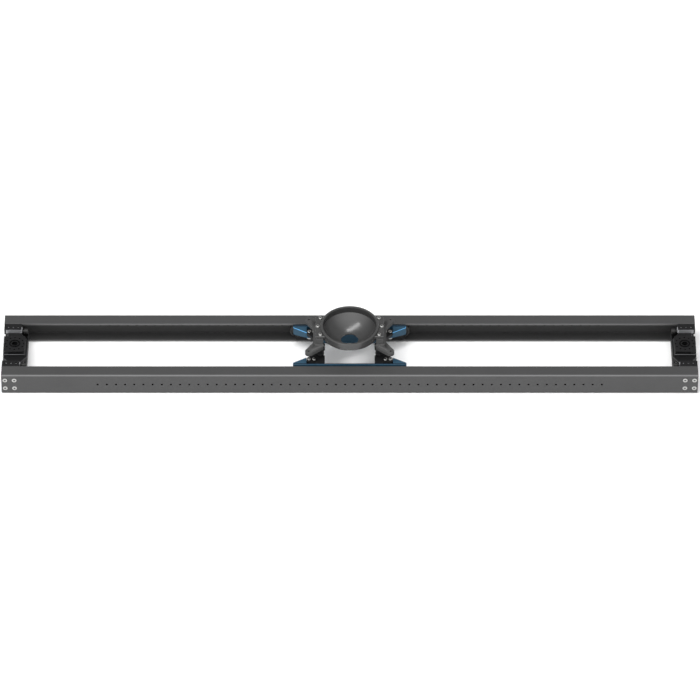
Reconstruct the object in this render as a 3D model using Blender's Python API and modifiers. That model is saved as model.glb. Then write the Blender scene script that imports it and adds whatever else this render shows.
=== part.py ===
"""Camera slider: two channel rails held by an end bracket at each end, and a wheeled carriage with a
150 mm bowl for a camera head.

Metres, +Z up. X runs along the rails and +Y to the rear. The origin is on the floor, under the
middle of the slider, and the carriage stands at mid-travel.
"""

import math

import bmesh
import bpy
from mathutils import Matrix, Vector

MM = 0.001
GAP = 0.3 * MM
HOLE_SIDES = 6
BOLT_SIDES = 8
ROUND_SIDES = 16
WHEEL_SIDES = 24
BOWL_SIDES = 36

# Rails: channels that open towards each other.
RAIL_LENGTH = 1900 * MM
TRACK_WIDTH = 250 * MM
RAIL_HEIGHT = 66 * MM
RAIL_DEPTH = 38 * MM
RAIL_WALL = 6 * MM
RAIL_CHAMFER = 3 * MM
RAIL_HOLE_COUNT = 56
RAIL_HOLE_PITCH = 25 * MM
RAIL_HOLE_RADIUS = 2.7 * MM
RAIL_INNER = TRACK_WIDTH / 2 - RAIL_DEPTH
WEB_INNER = TRACK_WIDTH / 2 - RAIL_WALL
RAIL_END = RAIL_LENGTH / 2

# End brackets. Distances along X are from the middle of the slider.
BRACKET_INNER = 884 * MM
BRACKET_OUTER = RAIL_END - 1 * MM
BRACKET_BOTTOM = 8 * MM
BRACKET_STEP = 36 * MM
TROUGH_TOP = 53 * MM
TROUGH_HALF_WIDTH = 64 * MM
CORNER_HALF_WIDTH = 34 * MM
EAR_INNER = 902 * MM
NOTCH_DEPTH = 9 * MM
NOTCH_HALF_WIDTHS = (40 * MM, 48 * MM)
PLINTH_INNER = 888 * MM
PLINTH_HALF_WIDTH = 33 * MM
PLINTH_TOP = 60 * MM
PAD_HALF_WIDTH = 31 * MM
PAD_INNER = 890 * MM
PAD_TOP = 71 * MM
STRAP_SLOT_X = (896 * MM, 935 * MM)
STRAP_SLOT_Z = (60.5 * MM, 66 * MM)
PAD_CENTRE = 917.5 * MM
PAD_BORE_RADIUS = 8.5 * MM
PAD_HOLE_COUNT = 12
PAD_HOLE_CIRCLE = 24.5 * MM
PAD_HOLE_RADIUS = 2.3 * MM
EAR_HOLES_X = (911 * MM, 924.5 * MM, 938 * MM)
EAR_HOLE_Y = 73.6 * MM
EAR_LIP = 2 * MM
SHELL_WALL = 7 * MM

# Bumper bars and their rubber bumpers.
BAR_INNER = 900 * MM
BAR_OUTER = 945 * MM
BAR_WIDTH = 12 * MM
BAR_HEIGHT = 13 * MM
BAR_CHAMFER = 4 * MM
BUMPER_RADIUS = 7 * MM
BUMPER_NECK_RADIUS = 4 * MM
BUMPER_NECK = 4 * MM
BUMPER_LENGTH = 16.5 * MM
BUMPER_Y = 70 * MM
BUMPER_Z = 54 * MM

# Carriage: side plates, cross-members, posts and arms.
CARRIAGE_HALF_LENGTH = 155 * MM
SIDE_OUTER = 81.5 * MM
SIDE_THICKNESS = 5.5 * MM
SIDE_BOTTOM = 4 * MM
SIDE_TOP = 67 * MM
SIDE_MIDDLE_HALF = 98 * MM
SIDE_SLOPE = 10 * MM
SIDE_TIP_RISE = 1 * MM
SIDE_END_BOTTOM = 38 * MM
SIDE_INNER = SIDE_OUTER - SIDE_THICKNESS
WING_BOTTOM = 45.5 * MM
WING_TIP_BOTTOM = 39.6 * MM
WING_TOP = 65.5 * MM
WING_CORNER = (CARRIAGE_HALF_LENGTH, 71 * MM)
WING_KNEE = (118 * MM, 50 * MM)
WING_INNER = 89 * MM
CROSS_BOTTOM = 54 * MM
CROSS_TOP = 63.5 * MM
CROSS_INNER = 68 * MM
CROSS_WAIST = 97 * MM
CROSS_SCALLOP = 4 * MM
CROSS_PAD_OUTER = 118 * MM
CROSS_PAD_Y = (45 * MM, 69 * MM)
CLAMP_BOLTS_X = (97.5 * MM, 111 * MM)
CLAMP_BOLT_Y = 56.4 * MM
BOLT_RADIUS = 3 * MM
BOLT_HEAD_RADIUS = 5.2 * MM
CLAMP_HEAD = 2.5 * MM
CLAMP_NUT_RADIUS = 6.5 * MM
CLAMP_NUT = 4.5 * MM
POST_RADIUS = 10.5 * MM
ARM_BOTTOM = 90 * MM
ARM_TOP = 102 * MM
ARM_INNER = 72 * MM
ARM_WAIST = 100 * MM
EAR_CENTRE = (112 * MM, 64.6 * MM)
EAR_RADIUS = 9.8 * MM
EAR_HOLE_RADIUS = 2.6 * MM
PEDESTAL_OUTER = 93 * MM
PEDESTAL_HALF_WIDTH = 41 * MM

# Bowl for a 150 mm half ball: an upright collar over a shallow spherical seat.
BOWL_RIM_TOP = 138.3 * MM
BOWL_OUTER_RADIUS = 79.5 * MM
BOWL_MOUTH_RADIUS = 73.25 * MM
BOWL_BAND = 22.3 * MM
BOWL_MOUTH_DEPTH = 16.7 * MM
BOWL_WALL = 4.5 * MM
SEAT_RADIUS = 72.5 * MM
SEAT_BOTTOM = 86.2 * MM
BOWL_HOLE_RADIUS = 23.75 * MM
BOWL_CLEARANCE_RADIUS = 83 * MM
LUG_TOP = 133 * MM
LUG_THICKNESS = 8 * MM
ARM_BOLT_CIRCLE = 87 * MM
ARM_BOLT_ANGLE = math.radians(22.7)
ARM_BOLT_HEAD = 3.5 * MM
ARM_BOLT_LENGTH = 30 * MM

# Wheel trucks, each with a running wheel in its channel and a guide roller against the rail's web.
TRUCK_OUTER = RAIL_INNER - 0.4 * MM
TRUCK_X = (86 * MM, 150 * MM)
TRUCK_Z = (10 * MM, 58 * MM)
WHEEL_RADIUS = 26 * MM
WHEEL_WIDTH = 18 * MM
WHEEL_X = 139 * MM
WHEEL_Y = 103 * MM
WHEEL_Z = RAIL_WALL + WHEEL_RADIUS + GAP
BEARING_RADIUS = 11 * MM
BEARING_WIDTH = 7 * MM
AXLE_RADIUS = 4 * MM
AXLE_COLLAR_RADIUS = 6 * MM
ROLLER_RADIUS = 10 * MM
ROLLER_HEIGHT = 12 * MM
ROLLER_X = 95 * MM
ROLLER_Y = WEB_INNER - GAP - ROLLER_RADIUS
ROLLER_Z = 33 * MM
GUIDE_ARM_HALF_WIDTH = 9 * MM
GUIDE_ARM_Z = (41 * MM, 50 * MM)
GUIDE_PIN_RADIUS = 3 * MM
GUIDE_CAP_RADIUS = 5 * MM
GUIDE_CAP_HEIGHT = 3.5 * MM

ENDS = {"left": -1, "right": 1}
FACES = {"front": -1, "rear": 1}


def clear_scene():
    for item in list(bpy.data.objects):
        bpy.data.objects.remove(item, do_unlink=True)


def new_collection(name):
    collection = bpy.data.collections.new(name)
    bpy.context.scene.collection.children.link(collection)
    return collection


clear_scene()
SLIDER = new_collection("camera_slider")
CUTTERS = new_collection("cutters")


def finish(name, colour, roughness, metallic):
    """A Principled material with one colour."""
    material = bpy.data.materials.new(name)
    material.use_nodes = True
    shader = material.node_tree.nodes["Principled BSDF"]
    shader.inputs["Base Color"].default_value = (*colour, 1)
    shader.inputs["Roughness"].default_value = roughness
    shader.inputs["Metallic"].default_value = metallic
    return material


RAIL_GREY = finish("rail_grey", (0.13, 0.13, 0.135), 0.5, 0.6)
BRACKET_BLACK = finish("bracket_black", (0.03, 0.03, 0.032), 0.55, 0.3)
PLATE_BLUE = finish("plate_blue", (0.02, 0.10, 0.24), 0.4, 0.7)
BARE_METAL = finish("bare_metal", (0.45, 0.45, 0.44), 0.35, 1.0)
BOLT_STEEL = finish("bolt_steel", (0.6, 0.6, 0.6), 0.25, 1.0)
RUBBER = finish("rubber", (0.02, 0.02, 0.02), 0.8, 0.0)
WHEEL_NYLON = finish("wheel_nylon", (0.25, 0.25, 0.24), 0.6, 0.0)


def span(start, end, side=1):
    """The low and high ends of a stretch, on one side of the middle plane."""
    return sorted((side * start, side * end))


def add_object(name, mesh, centre, material, collection=SLIDER):
    """Links the mesh as a part, or as a cutter when it has no material."""
    item = bpy.data.objects.new(name, mesh)
    item.location = centre
    if material:
        mesh.materials.append(material)
        collection.objects.link(item)
        return item
    item.display_type = "WIRE"
    item.hide_render = True
    CUTTERS.objects.link(item)
    return item


def mesh_from(name, shape, smooth_angle=None):
    mesh = bpy.data.meshes.new(name)
    bmesh.ops.recalc_face_normals(shape, faces=shape.faces)
    shape.to_mesh(mesh)
    shape.free()
    if smooth_angle:
        mesh.shade_smooth()
        mesh.set_sharp_from_angle(angle=smooth_angle)
    return mesh


def block(name, x_span, y_span, z_span, material=None):
    """A box between the given limits, with its origin at its centre."""
    low, high = (Vector(corner) for corner in zip(x_span, y_span, z_span))
    shape = bmesh.new()
    bmesh.ops.create_cube(shape, size=1, matrix=Matrix.Diagonal((*(high - low), 1)))
    return add_object(name, mesh_from(name, shape), (low + high) / 2, material)


def turn_to(axis):
    """The rotation that takes +Z to the named axis."""
    return Vector((0, 0, 1)).rotation_difference(Vector(axis)).to_matrix().to_4x4()


def cylinder(name, radius, length, centre, axis, material=None, sides=ROUND_SIDES):
    shape = bmesh.new()
    bmesh.ops.create_cone(
        shape,
        cap_ends=True,
        segments=sides,
        radius1=radius,
        radius2=radius,
        depth=length,
        matrix=turn_to(axis),
    )
    return add_object(name, mesh_from(name, shape, math.radians(40)), centre, material)


def drill(name, radius, depth, centres, axis, sides=HOLE_SIDES):
    """One cutter with a cylinder at each centre."""
    shape = bmesh.new()
    for centre in centres:
        bmesh.ops.create_cone(
            shape,
            cap_ends=True,
            segments=sides,
            radius1=radius,
            radius2=radius,
            depth=depth,
            matrix=Matrix.Translation(centre) @ turn_to(axis),
        )
    return add_object(name, mesh_from(name, shape), (0, 0, 0), None)


def extruded(name, outline, thickness, placing, material=None):
    """A flat outline in its own XY plane, thickened to both sides and then placed."""
    curve = bpy.data.curves.new(name, "CURVE")
    curve.dimensions = "2D"
    curve.fill_mode = "BOTH"
    curve.extrude = thickness / 2
    spline = curve.splines.new("POLY")
    spline.points.add(len(outline) - 1)
    for point, (across, along) in zip(spline.points, outline):
        point.co = (across, along, 0, 1)
    spline.use_cyclic_u = True
    guide = bpy.data.objects.new(name + "_outline", curve)
    bpy.context.scene.collection.objects.link(guide)
    graph = bpy.context.evaluated_depsgraph_get()
    mesh = bpy.data.meshes.new_from_object(guide.evaluated_get(graph))
    bpy.data.objects.remove(guide)
    shape = bmesh.new()
    shape.from_mesh(mesh)
    bmesh.ops.remove_doubles(shape, verts=shape.verts, dist=0.01 * MM)
    shape.transform(placing)
    return add_object(name, mesh_from(name, shape), (0, 0, 0), material)


def upright_plate(name, outline, z_span, material=None):
    """A plate with its outline seen from above, between two heights."""
    low, high = z_span
    return extruded(name, outline, high - low, Matrix.Translation((0, 0, (low + high) / 2)), material)


def turned(name, profile, centre, axis, material, steps=ROUND_SIDES):
    """A closed profile of (radius, height) points, turned about the axis."""
    mesh = bpy.data.meshes.new(name)
    points = [(radius, 0, height) for radius, height in profile]
    edges = [(index, (index + 1) % len(points)) for index in range(len(points))]
    mesh.from_pydata(points, edges, [])
    item = add_object(name, mesh, centre, material)
    item.rotation_euler = turn_to(axis).to_euler()
    screw = item.modifiers.new("turn", "SCREW")
    screw.steps = steps
    screw.render_steps = steps
    screw.use_merge_vertices = True
    screw.merge_threshold = 0.01 * MM
    screw.use_smooth_shade = True
    return item


def combine(target, operation, tools):
    for tool in tools:
        boolean = target.modifiers.new(f"{operation.lower()}_{tool.name}", "BOOLEAN")
        boolean.operation = operation
        boolean.solver = "EXACT"
        boolean.object = tool


def cut(target, *tools):
    combine(target, "DIFFERENCE", tools)


def join(target, *tools):
    combine(target, "UNION", tools)


def mirrored(outline, x_side, y_side):
    """The outline on the chosen side of both middle planes."""
    return [(x_side * across, y_side * along) for across, along in outline]


def arc(centre, radius, start, end, count):
    """Points on an arc between two angles in degrees."""
    angles = [math.radians(start + (end - start) * step / count) for step in range(count + 1)]
    return [(centre[0] + radius * math.cos(a), centre[1] + radius * math.sin(a)) for a in angles]


def make_rail(face, side):
    """A channel rail with a row of holes along the middle of its outer web."""
    outline = [
        (RAIL_CHAMFER, 0),
        (RAIL_DEPTH, 0),
        (RAIL_DEPTH, RAIL_WALL),
        (RAIL_WALL, RAIL_WALL),
        (RAIL_WALL, RAIL_HEIGHT - RAIL_WALL),
        (RAIL_DEPTH, RAIL_HEIGHT - RAIL_WALL),
        (RAIL_DEPTH, RAIL_HEIGHT),
        (RAIL_CHAMFER, RAIL_HEIGHT),
        (0, RAIL_HEIGHT - RAIL_CHAMFER),
        (0, RAIL_CHAMFER),
    ]
    section = [(side * (TRACK_WIDTH / 2 - depth), height) for depth, height in outline]
    along_rail = Matrix(((0, 0, 1, 0), (1, 0, 0, 0), (0, 1, 0, 0), (0, 0, 0, 1)))
    rail = extruded(f"{face}_rail", section, RAIL_LENGTH, along_rail, RAIL_GREY)
    first = -(RAIL_HOLE_COUNT - 1) / 2 * RAIL_HOLE_PITCH
    web_middle = side * (TRACK_WIDTH / 2 - RAIL_WALL / 2)
    centres = [
        (first + index * RAIL_HOLE_PITCH, web_middle, RAIL_HEIGHT / 2)
        for index in range(RAIL_HOLE_COUNT)
    ]
    cut(rail, drill(f"{face}_rail_holes", RAIL_HOLE_RADIUS, 2 * RAIL_WALL, centres, (0, 1, 0)))


def bracket_additions(end, side):
    """The bracket's raised stretches: web, plinth, pad, and the block at each rail."""
    corner = [
        (BRACKET_INNER - 1 * MM, 0),
        (BRACKET_OUTER, 0),
        (BRACKET_OUTER, NOTCH_HALF_WIDTHS[0]),
        (BRACKET_OUTER - NOTCH_DEPTH, NOTCH_HALF_WIDTHS[1]),
        (BRACKET_OUTER - NOTCH_DEPTH, TROUGH_HALF_WIDTH + 1 * MM),
        (EAR_INNER + 3 * MM, TROUGH_HALF_WIDTH + 1 * MM),
        (BRACKET_INNER - 1 * MM, CORNER_HALF_WIDTH),
    ]
    outline = corner[1:] + [(across, -along) for across, along in reversed(corner[1:])]
    web_heights = (BRACKET_STEP - 1 * MM, TROUGH_TOP)
    yield upright_plate(f"{end}_web", mirrored(outline, side, 1), web_heights)
    plinth = (-PLINTH_HALF_WIDTH, PLINTH_HALF_WIDTH)
    plinth_x = span(PLINTH_INNER, BRACKET_OUTER - 0.5 * MM, side)
    yield block(f"{end}_plinth", plinth_x, plinth, (50 * MM, PLINTH_TOP))
    pad = (-PAD_HALF_WIDTH, PAD_HALF_WIDTH)
    yield block(f"{end}_pad", span(PAD_INNER, BRACKET_OUTER - 1 * MM, side), pad, (55 * MM, PAD_TOP))
    for face, y_side in FACES.items():
        ear_y = span(TROUGH_HALF_WIDTH, RAIL_INNER - GAP, y_side)
        ear_x = span(EAR_INNER, RAIL_END - 0.5 * MM, side)
        yield block(f"{end}_{face}_ear", ear_x, ear_y, (BRACKET_BOTTOM + 2 * MM, RAIL_HEIGHT))
        tenon_y = span(RAIL_INNER - 5 * MM, WEB_INNER - GAP, y_side)
        tenon_x = span(EAR_INNER + 0.5 * MM, RAIL_END - 0.8 * MM, side)
        tenon_z = (RAIL_WALL + GAP, RAIL_HEIGHT - RAIL_WALL - GAP)
        yield block(f"{end}_{face}_tenon", tenon_x, tenon_y, tenon_z)


def bracket_cuts(end, side):
    """The bracket's hollow underside, strap slot, bore and holes, and the seats of the bumper bars."""
    hollow_x = span(BRACKET_INNER + SHELL_WALL, BRACKET_OUTER - NOTCH_DEPTH - SHELL_WALL, side)
    hollow_y = (-TROUGH_HALF_WIDTH + 4 * MM, TROUGH_HALF_WIDTH - 4 * MM)
    yield block(f"{end}_hollow", hollow_x, hollow_y, (0, TROUGH_TOP - SHELL_WALL))
    slot_y = (-PAD_HALF_WIDTH - 5 * MM, PAD_HALF_WIDTH + 5 * MM)
    yield block(f"{end}_strap_slot", span(*STRAP_SLOT_X, side), slot_y, STRAP_SLOT_Z)
    centre = (side * PAD_CENTRE, 0, PAD_TOP)
    yield cylinder(f"{end}_pad_bore", PAD_BORE_RADIUS, 2 * PAD_TOP, centre, (0, 0, 1))
    ring = [
        (
            side * (PAD_CENTRE + PAD_HOLE_CIRCLE * math.cos(index * math.tau / PAD_HOLE_COUNT)),
            PAD_HOLE_CIRCLE * math.sin(index * math.tau / PAD_HOLE_COUNT),
            PAD_TOP,
        )
        for index in range(PAD_HOLE_COUNT)
    ]
    through_pad = 2 * (PAD_TOP - STRAP_SLOT_Z[1] + 1 * MM)
    yield drill(f"{end}_pad_holes", PAD_HOLE_RADIUS, through_pad, ring, (0, 0, 1))
    for face, y_side in FACES.items():
        row = [(side * across, y_side * EAR_HOLE_Y, RAIL_HEIGHT) for across in EAR_HOLES_X]
        yield drill(f"{end}_{face}_ear_holes", 2.5 * MM, 4 * EAR_LIP, row, (0, 0, 1))
        seat_x = span(EAR_INNER - 1 * MM, BAR_OUTER + GAP, side)
        seat_y = span(TROUGH_HALF_WIDTH - 1 * MM, TROUGH_HALF_WIDTH + BAR_WIDTH + GAP, y_side)
        seat_z = (RAIL_HEIGHT - EAR_LIP - BAR_HEIGHT - 2 * GAP, RAIL_HEIGHT - EAR_LIP)
        yield block(f"{end}_{face}_bar_seat", seat_x, seat_y, seat_z)


def make_end_bracket(end, side):
    base_x = span(BRACKET_INNER, BRACKET_OUTER - NOTCH_DEPTH, side)
    base_y = (-RAIL_INNER + 2 * MM, RAIL_INNER - 2 * MM)
    bracket = block(f"{end}_end_bracket", base_x, base_y, (BRACKET_BOTTOM, BRACKET_STEP), BRACKET_BLACK)
    join(bracket, *bracket_additions(end, side))
    cut(bracket, *bracket_cuts(end, side))


def make_bumper(end, face, x_side, y_side):
    """A light metal bar under the bracket's lip, with a rubber bumper on its inner end."""
    face_y = y_side * TROUGH_HALF_WIDTH
    outline = [
        (BAR_OUTER, face_y),
        (BAR_OUTER, face_y + y_side * BAR_WIDTH),
        (BAR_INNER, face_y + y_side * BAR_WIDTH),
        (BAR_INNER, face_y + y_side * BAR_CHAMFER),
        (BAR_INNER + BAR_CHAMFER, face_y),
    ]
    bar_top = RAIL_HEIGHT - EAR_LIP - GAP
    bar_z = (bar_top - BAR_HEIGHT, bar_top)
    upright_plate(f"{end}_{face}_bumper_bar", mirrored(outline, x_side, 1), bar_z, BARE_METAL)
    profile = [
        (BUMPER_RADIUS - 1.5 * MM, BUMPER_LENGTH),
        (BUMPER_RADIUS, BUMPER_LENGTH - 1.5 * MM),
        (BUMPER_RADIUS, BUMPER_NECK),
        (BUMPER_NECK_RADIUS, BUMPER_NECK),
        (BUMPER_NECK_RADIUS, GAP),
        (0, GAP),
        (0, BUMPER_LENGTH),
    ]
    root = (x_side * BAR_INNER, y_side * BUMPER_Y, BUMPER_Z)
    turned(f"{end}_{face}_bumper", profile, root, (-x_side, 0, 0), RUBBER, 12)


def side_plate_outline():
    """The side plate seen from its side, as (along, height)."""
    right_half = [
        (SIDE_MIDDLE_HALF, SIDE_BOTTOM),
        (SIDE_MIDDLE_HALF + SIDE_SLOPE, SIDE_END_BOTTOM),
        (CARRIAGE_HALF_LENGTH, SIDE_END_BOTTOM + SIDE_TIP_RISE),
        (CARRIAGE_HALF_LENGTH, SIDE_TOP),
    ]
    return right_half + [(-along, height) for along, height in reversed(right_half)]


def wing_outline():
    """A wing seen from above, at the right rear."""
    overlap = SIDE_INNER + SIDE_THICKNESS / 2
    return [
        (CARRIAGE_HALF_LENGTH - 0.2 * MM, overlap),
        (WING_INNER, overlap),
        (WING_INNER, WING_KNEE[1]),
        WING_KNEE,
        (CARRIAGE_HALF_LENGTH - 0.2 * MM, WING_CORNER[1]),
    ]


def wing_relief(x_side):
    """The space under a wing seen from its side: level at the bolts, and lower towards the tip."""
    inner = WING_INNER - 5 * MM
    outer = CARRIAGE_HALF_LENGTH + 1 * MM
    outline = [
        (inner, SIDE_BOTTOM),
        (inner, WING_BOTTOM),
        (WING_KNEE[0] + 1 * MM, WING_BOTTOM),
        (outer, WING_TIP_BOTTOM),
        (outer, SIDE_BOTTOM),
    ]
    return mirrored(outline, x_side, 1)


def make_side_plate(face, y_side):
    """A blue side plate whose wings carry the ends of the cross-members."""
    middle_y = y_side * (SIDE_INNER + SIDE_THICKNESS / 2)
    stand = Matrix(((1, 0, 0, 0), (0, 0, 1, middle_y), (0, 1, 0, 0), (0, 0, 0, 1)))
    plate = extruded(f"{face}_side_plate", side_plate_outline(), SIDE_THICKNESS, stand, PLATE_BLUE)
    pad_y = span(CROSS_PAD_Y[0] - 30 * MM, SIDE_INNER - 0.1 * MM, y_side)
    for end, x_side in ENDS.items():
        outline = mirrored(wing_outline(), x_side, y_side)
        wing = upright_plate(f"{face}_{end}_wing", outline, (WING_TIP_BOTTOM - 2 * MM, WING_TOP))
        relief = extruded(f"{face}_{end}_wing_relief", wing_relief(x_side), 2 * TRACK_WIDTH, stand)
        cut(wing, relief)
        pad_x = span(CROSS_INNER, CROSS_PAD_OUTER + GAP, x_side)
        recess = block(f"{face}_{end}_pad_recess", pad_x, pad_y, (CROSS_BOTTOM - GAP, 2 * CROSS_TOP))
        bolts = [(x_side * across, y_side * CLAMP_BOLT_Y, WING_BOTTOM) for across in CLAMP_BOLTS_X]
        bolt_holes = drill(
            f"{face}_{end}_bolt_holes", BOLT_RADIUS + GAP, RAIL_HEIGHT, bolts, (0, 0, 1), BOLT_SIDES
        )
        join(plate, wing)
        cut(plate, recess, bolt_holes)


def cross_member_outline():
    """The right-hand cross-member seen from above, rear half, from its inner edge round to its waist."""
    pad_low, pad_high = CROSS_PAD_Y
    corner = 9 * MM
    outer = CROSS_PAD_OUTER - corner
    return [
        (CROSS_INNER, 8 * MM),
        (CROSS_INNER + CROSS_SCALLOP, 12 * MM),
        (CROSS_INNER + CROSS_SCALLOP, 37 * MM),
        (CROSS_INNER, 41 * MM),
        (CROSS_INNER, SIDE_INNER - GAP),
        (WING_INNER - 2 * MM, SIDE_INNER - GAP),
        (WING_INNER + 3 * MM, pad_high),
        *arc((outer, pad_high - corner), corner, 90, 0, 4),
        *arc((outer, pad_low + corner), corner, 0, -60, 3),
        (CROSS_WAIST, 24 * MM),
    ]


def make_cross_member(end, x_side):
    """A black plate across the carriage, bolted to both side plates' wings."""
    rear_half = cross_member_outline()
    outline = rear_half + [(across, -along) for across, along in reversed(rear_half)]
    member = upright_plate(
        f"{end}_cross_member", mirrored(outline, x_side, 1), (CROSS_BOTTOM, CROSS_TOP), BRACKET_BLACK
    )
    bolts = [
        (x_side * across, y_side * CLAMP_BOLT_Y, CROSS_TOP)
        for across in CLAMP_BOLTS_X
        for y_side in FACES.values()
    ]
    cut(member, drill(f"{end}_clamp_holes", BOLT_RADIUS + GAP, 40 * MM, bolts, (0, 0, 1), BOLT_SIDES))


def make_clamp_bolt(name, centre):
    """A cap screw down through a cross-member and a wing, with its nut."""
    nut_top = WING_BOTTOM - GAP
    head_low = CROSS_TOP + GAP
    profile = [
        (BOLT_HEAD_RADIUS, head_low + CLAMP_HEAD),
        (BOLT_HEAD_RADIUS, head_low),
        (BOLT_RADIUS, head_low),
        (BOLT_RADIUS, nut_top),
        (CLAMP_NUT_RADIUS, nut_top),
        (CLAMP_NUT_RADIUS, nut_top - CLAMP_NUT),
        (0, nut_top - CLAMP_NUT),
        (0, head_low + CLAMP_HEAD),
    ]
    turned(name, profile, (*centre, 0), (0, 0, 1), BOLT_STEEL, BOLT_SIDES)


def arm_outline():
    """The right-hand arm's lower plate seen from above, rear half."""
    ear_x, ear_y = EAR_CENTRE
    return [
        (ARM_INNER, 47 * MM),
        (ear_x - 8 * MM, ear_y + EAR_RADIUS - 1.5 * MM),
        *arc(EAR_CENTRE, EAR_RADIUS, 100, -35, 6),
        (ARM_WAIST, 29 * MM),
    ]


def make_arm(end, x_side):
    """A grey arm: a plate with two drilled ears, and a pedestal that the bowl's lug sits on."""
    rear_half = arm_outline()
    outline = rear_half + [(across, -along) for across, along in reversed(rear_half)]
    arm = upright_plate(f"{end}_arm", mirrored(outline, x_side, 1), (ARM_BOTTOM, ARM_TOP), RAIL_GREY)
    width = (-PEDESTAL_HALF_WIDTH, PEDESTAL_HALF_WIDTH)
    seat = LUG_TOP - LUG_THICKNESS - GAP
    pedestal_x = span(60 * MM, PEDESTAL_OUTER, x_side)
    pedestal = block(f"{end}_pedestal", pedestal_x, width, (ARM_TOP - 5 * MM, seat))
    bowl_room = cylinder(
        f"{end}_bowl_room", BOWL_CLEARANCE_RADIUS, RAIL_HEIGHT, (0, 0, ARM_TOP), (0, 0, 1), None, BOWL_SIDES
    )
    ears = [(x_side * EAR_CENTRE[0], y_side * EAR_CENTRE[1], ARM_TOP) for y_side in FACES.values()]
    ear_holes = drill(f"{end}_arm_ear_holes", EAR_HOLE_RADIUS, 40 * MM, ears, (0, 0, 1), BOLT_SIDES)
    cut(pedestal, bowl_room)
    join(arm, pedestal)
    bolts = [(across, along, LUG_TOP) for across, along in arm_bolt_centres(x_side)]
    depth = 2 * (ARM_BOLT_LENGTH + GAP)
    bolt_holes = drill(f"{end}_arm_bolt_holes", BOLT_RADIUS + GAP, depth, bolts, (0, 0, 1), BOLT_SIDES)
    cut(arm, ear_holes, bolt_holes)


def arm_bolt_centres(x_side):
    """Where the three bolts of one arm stand, around the bowl's axis."""
    return [
        (x_side * ARM_BOLT_CIRCLE * math.cos(angle), ARM_BOLT_CIRCLE * math.sin(angle))
        for angle in (-ARM_BOLT_ANGLE, 0, ARM_BOLT_ANGLE)
    ]


def make_arm_bolts(end, x_side):
    profile = [
        (BOLT_HEAD_RADIUS - 1 * MM, LUG_TOP + GAP + ARM_BOLT_HEAD),
        (BOLT_HEAD_RADIUS, LUG_TOP + GAP + ARM_BOLT_HEAD - 1 * MM),
        (BOLT_HEAD_RADIUS, LUG_TOP + GAP),
        (BOLT_RADIUS, LUG_TOP + GAP),
        (BOLT_RADIUS, LUG_TOP - ARM_BOLT_LENGTH),
        (0, LUG_TOP - ARM_BOLT_LENGTH),
        (0, LUG_TOP + GAP + ARM_BOLT_HEAD),
    ]
    for place, centre in zip(("front", "middle", "rear"), arm_bolt_centres(x_side)):
        turned(f"{end}_{place}_arm_bolt", profile, (*centre, 0), (0, 0, 1), BOLT_STEEL, BOLT_SIDES)


def make_posts(end, x_side):
    """The two posts between a cross-member and its arm."""
    for face, index in (("front", 0), ("rear", 2)):
        x, y = arm_bolt_centres(x_side)[index]
        low, high = CROSS_TOP + GAP, ARM_BOTTOM - GAP
        centre = (x, y, (low + high) / 2)
        cylinder(f"{end}_{face}_post", POST_RADIUS, high - low, centre, (0, 0, 1), BRACKET_BLACK)


def seat_sphere(seat_top):
    """The centre height and radius of the sphere through the top and bottom circles of the seat."""
    rise = SEAT_RADIUS**2 - BOWL_HOLE_RADIUS**2 + seat_top**2 - SEAT_BOTTOM**2
    centre_z = rise / (2 * (seat_top - SEAT_BOTTOM))
    return centre_z, math.hypot(SEAT_RADIUS, seat_top - centre_z)


def sphere_arc(centre_z, radius, start, end, count):
    """Profile points on the lower half of a sphere, between two distances from the axis."""
    start_angle, end_angle = (math.asin(distance / radius) for distance in (start, end))
    angles = [start_angle + (end_angle - start_angle) * step / count for step in range(count + 1)]
    return [(radius * math.sin(a), centre_z - radius * math.cos(a)) for a in angles]


def bowl_profile():
    collar_bottom = BOWL_RIM_TOP - BOWL_BAND
    seat_top = BOWL_RIM_TOP - BOWL_MOUTH_DEPTH
    centre_z, seat_radius = seat_sphere(seat_top)
    shell_radius = seat_radius + BOWL_WALL
    shell_top = math.sqrt(shell_radius**2 - (centre_z - collar_bottom) ** 2)
    return [
        (BOWL_OUTER_RADIUS, BOWL_RIM_TOP),
        (BOWL_OUTER_RADIUS, collar_bottom),
        *sphere_arc(centre_z, shell_radius, shell_top, BOWL_HOLE_RADIUS, 5),
        *sphere_arc(centre_z, seat_radius, BOWL_HOLE_RADIUS, SEAT_RADIUS, 7),
        (BOWL_MOUTH_RADIUS, seat_top),
        (BOWL_MOUTH_RADIUS, BOWL_RIM_TOP),
    ]


def make_bowl():
    """The bowl, with a lug to each side that is bolted down on an arm."""
    bowl = turned("bowl", bowl_profile(), (0, 0, 0), (0, 0, 1), RAIL_GREY, BOWL_SIDES)
    inner = (BOWL_OUTER_RADIUS + BOWL_MOUTH_RADIUS) / 2
    for end, x_side in ENDS.items():
        lug_y = (-PEDESTAL_HALF_WIDTH, PEDESTAL_HALF_WIDTH)
        lug_x = span(60 * MM, PEDESTAL_OUTER, x_side)
        lug = block(f"{end}_lug", lug_x, lug_y, (LUG_TOP - LUG_THICKNESS, LUG_TOP))
        room = cylinder(
            f"{end}_lug_room", inner, RAIL_HEIGHT, (0, 0, LUG_TOP), (0, 0, 1), None, BOWL_SIDES
        )
        cut(lug, room)
        bolts = [(x, y, LUG_TOP) for x, y in arm_bolt_centres(x_side)]
        join(bowl, lug)
        holes = drill(f"{end}_lug_holes", BOLT_RADIUS + GAP, 4 * LUG_THICKNESS, bolts, (0, 0, 1), BOLT_SIDES)
        cut(bowl, holes)


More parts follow.
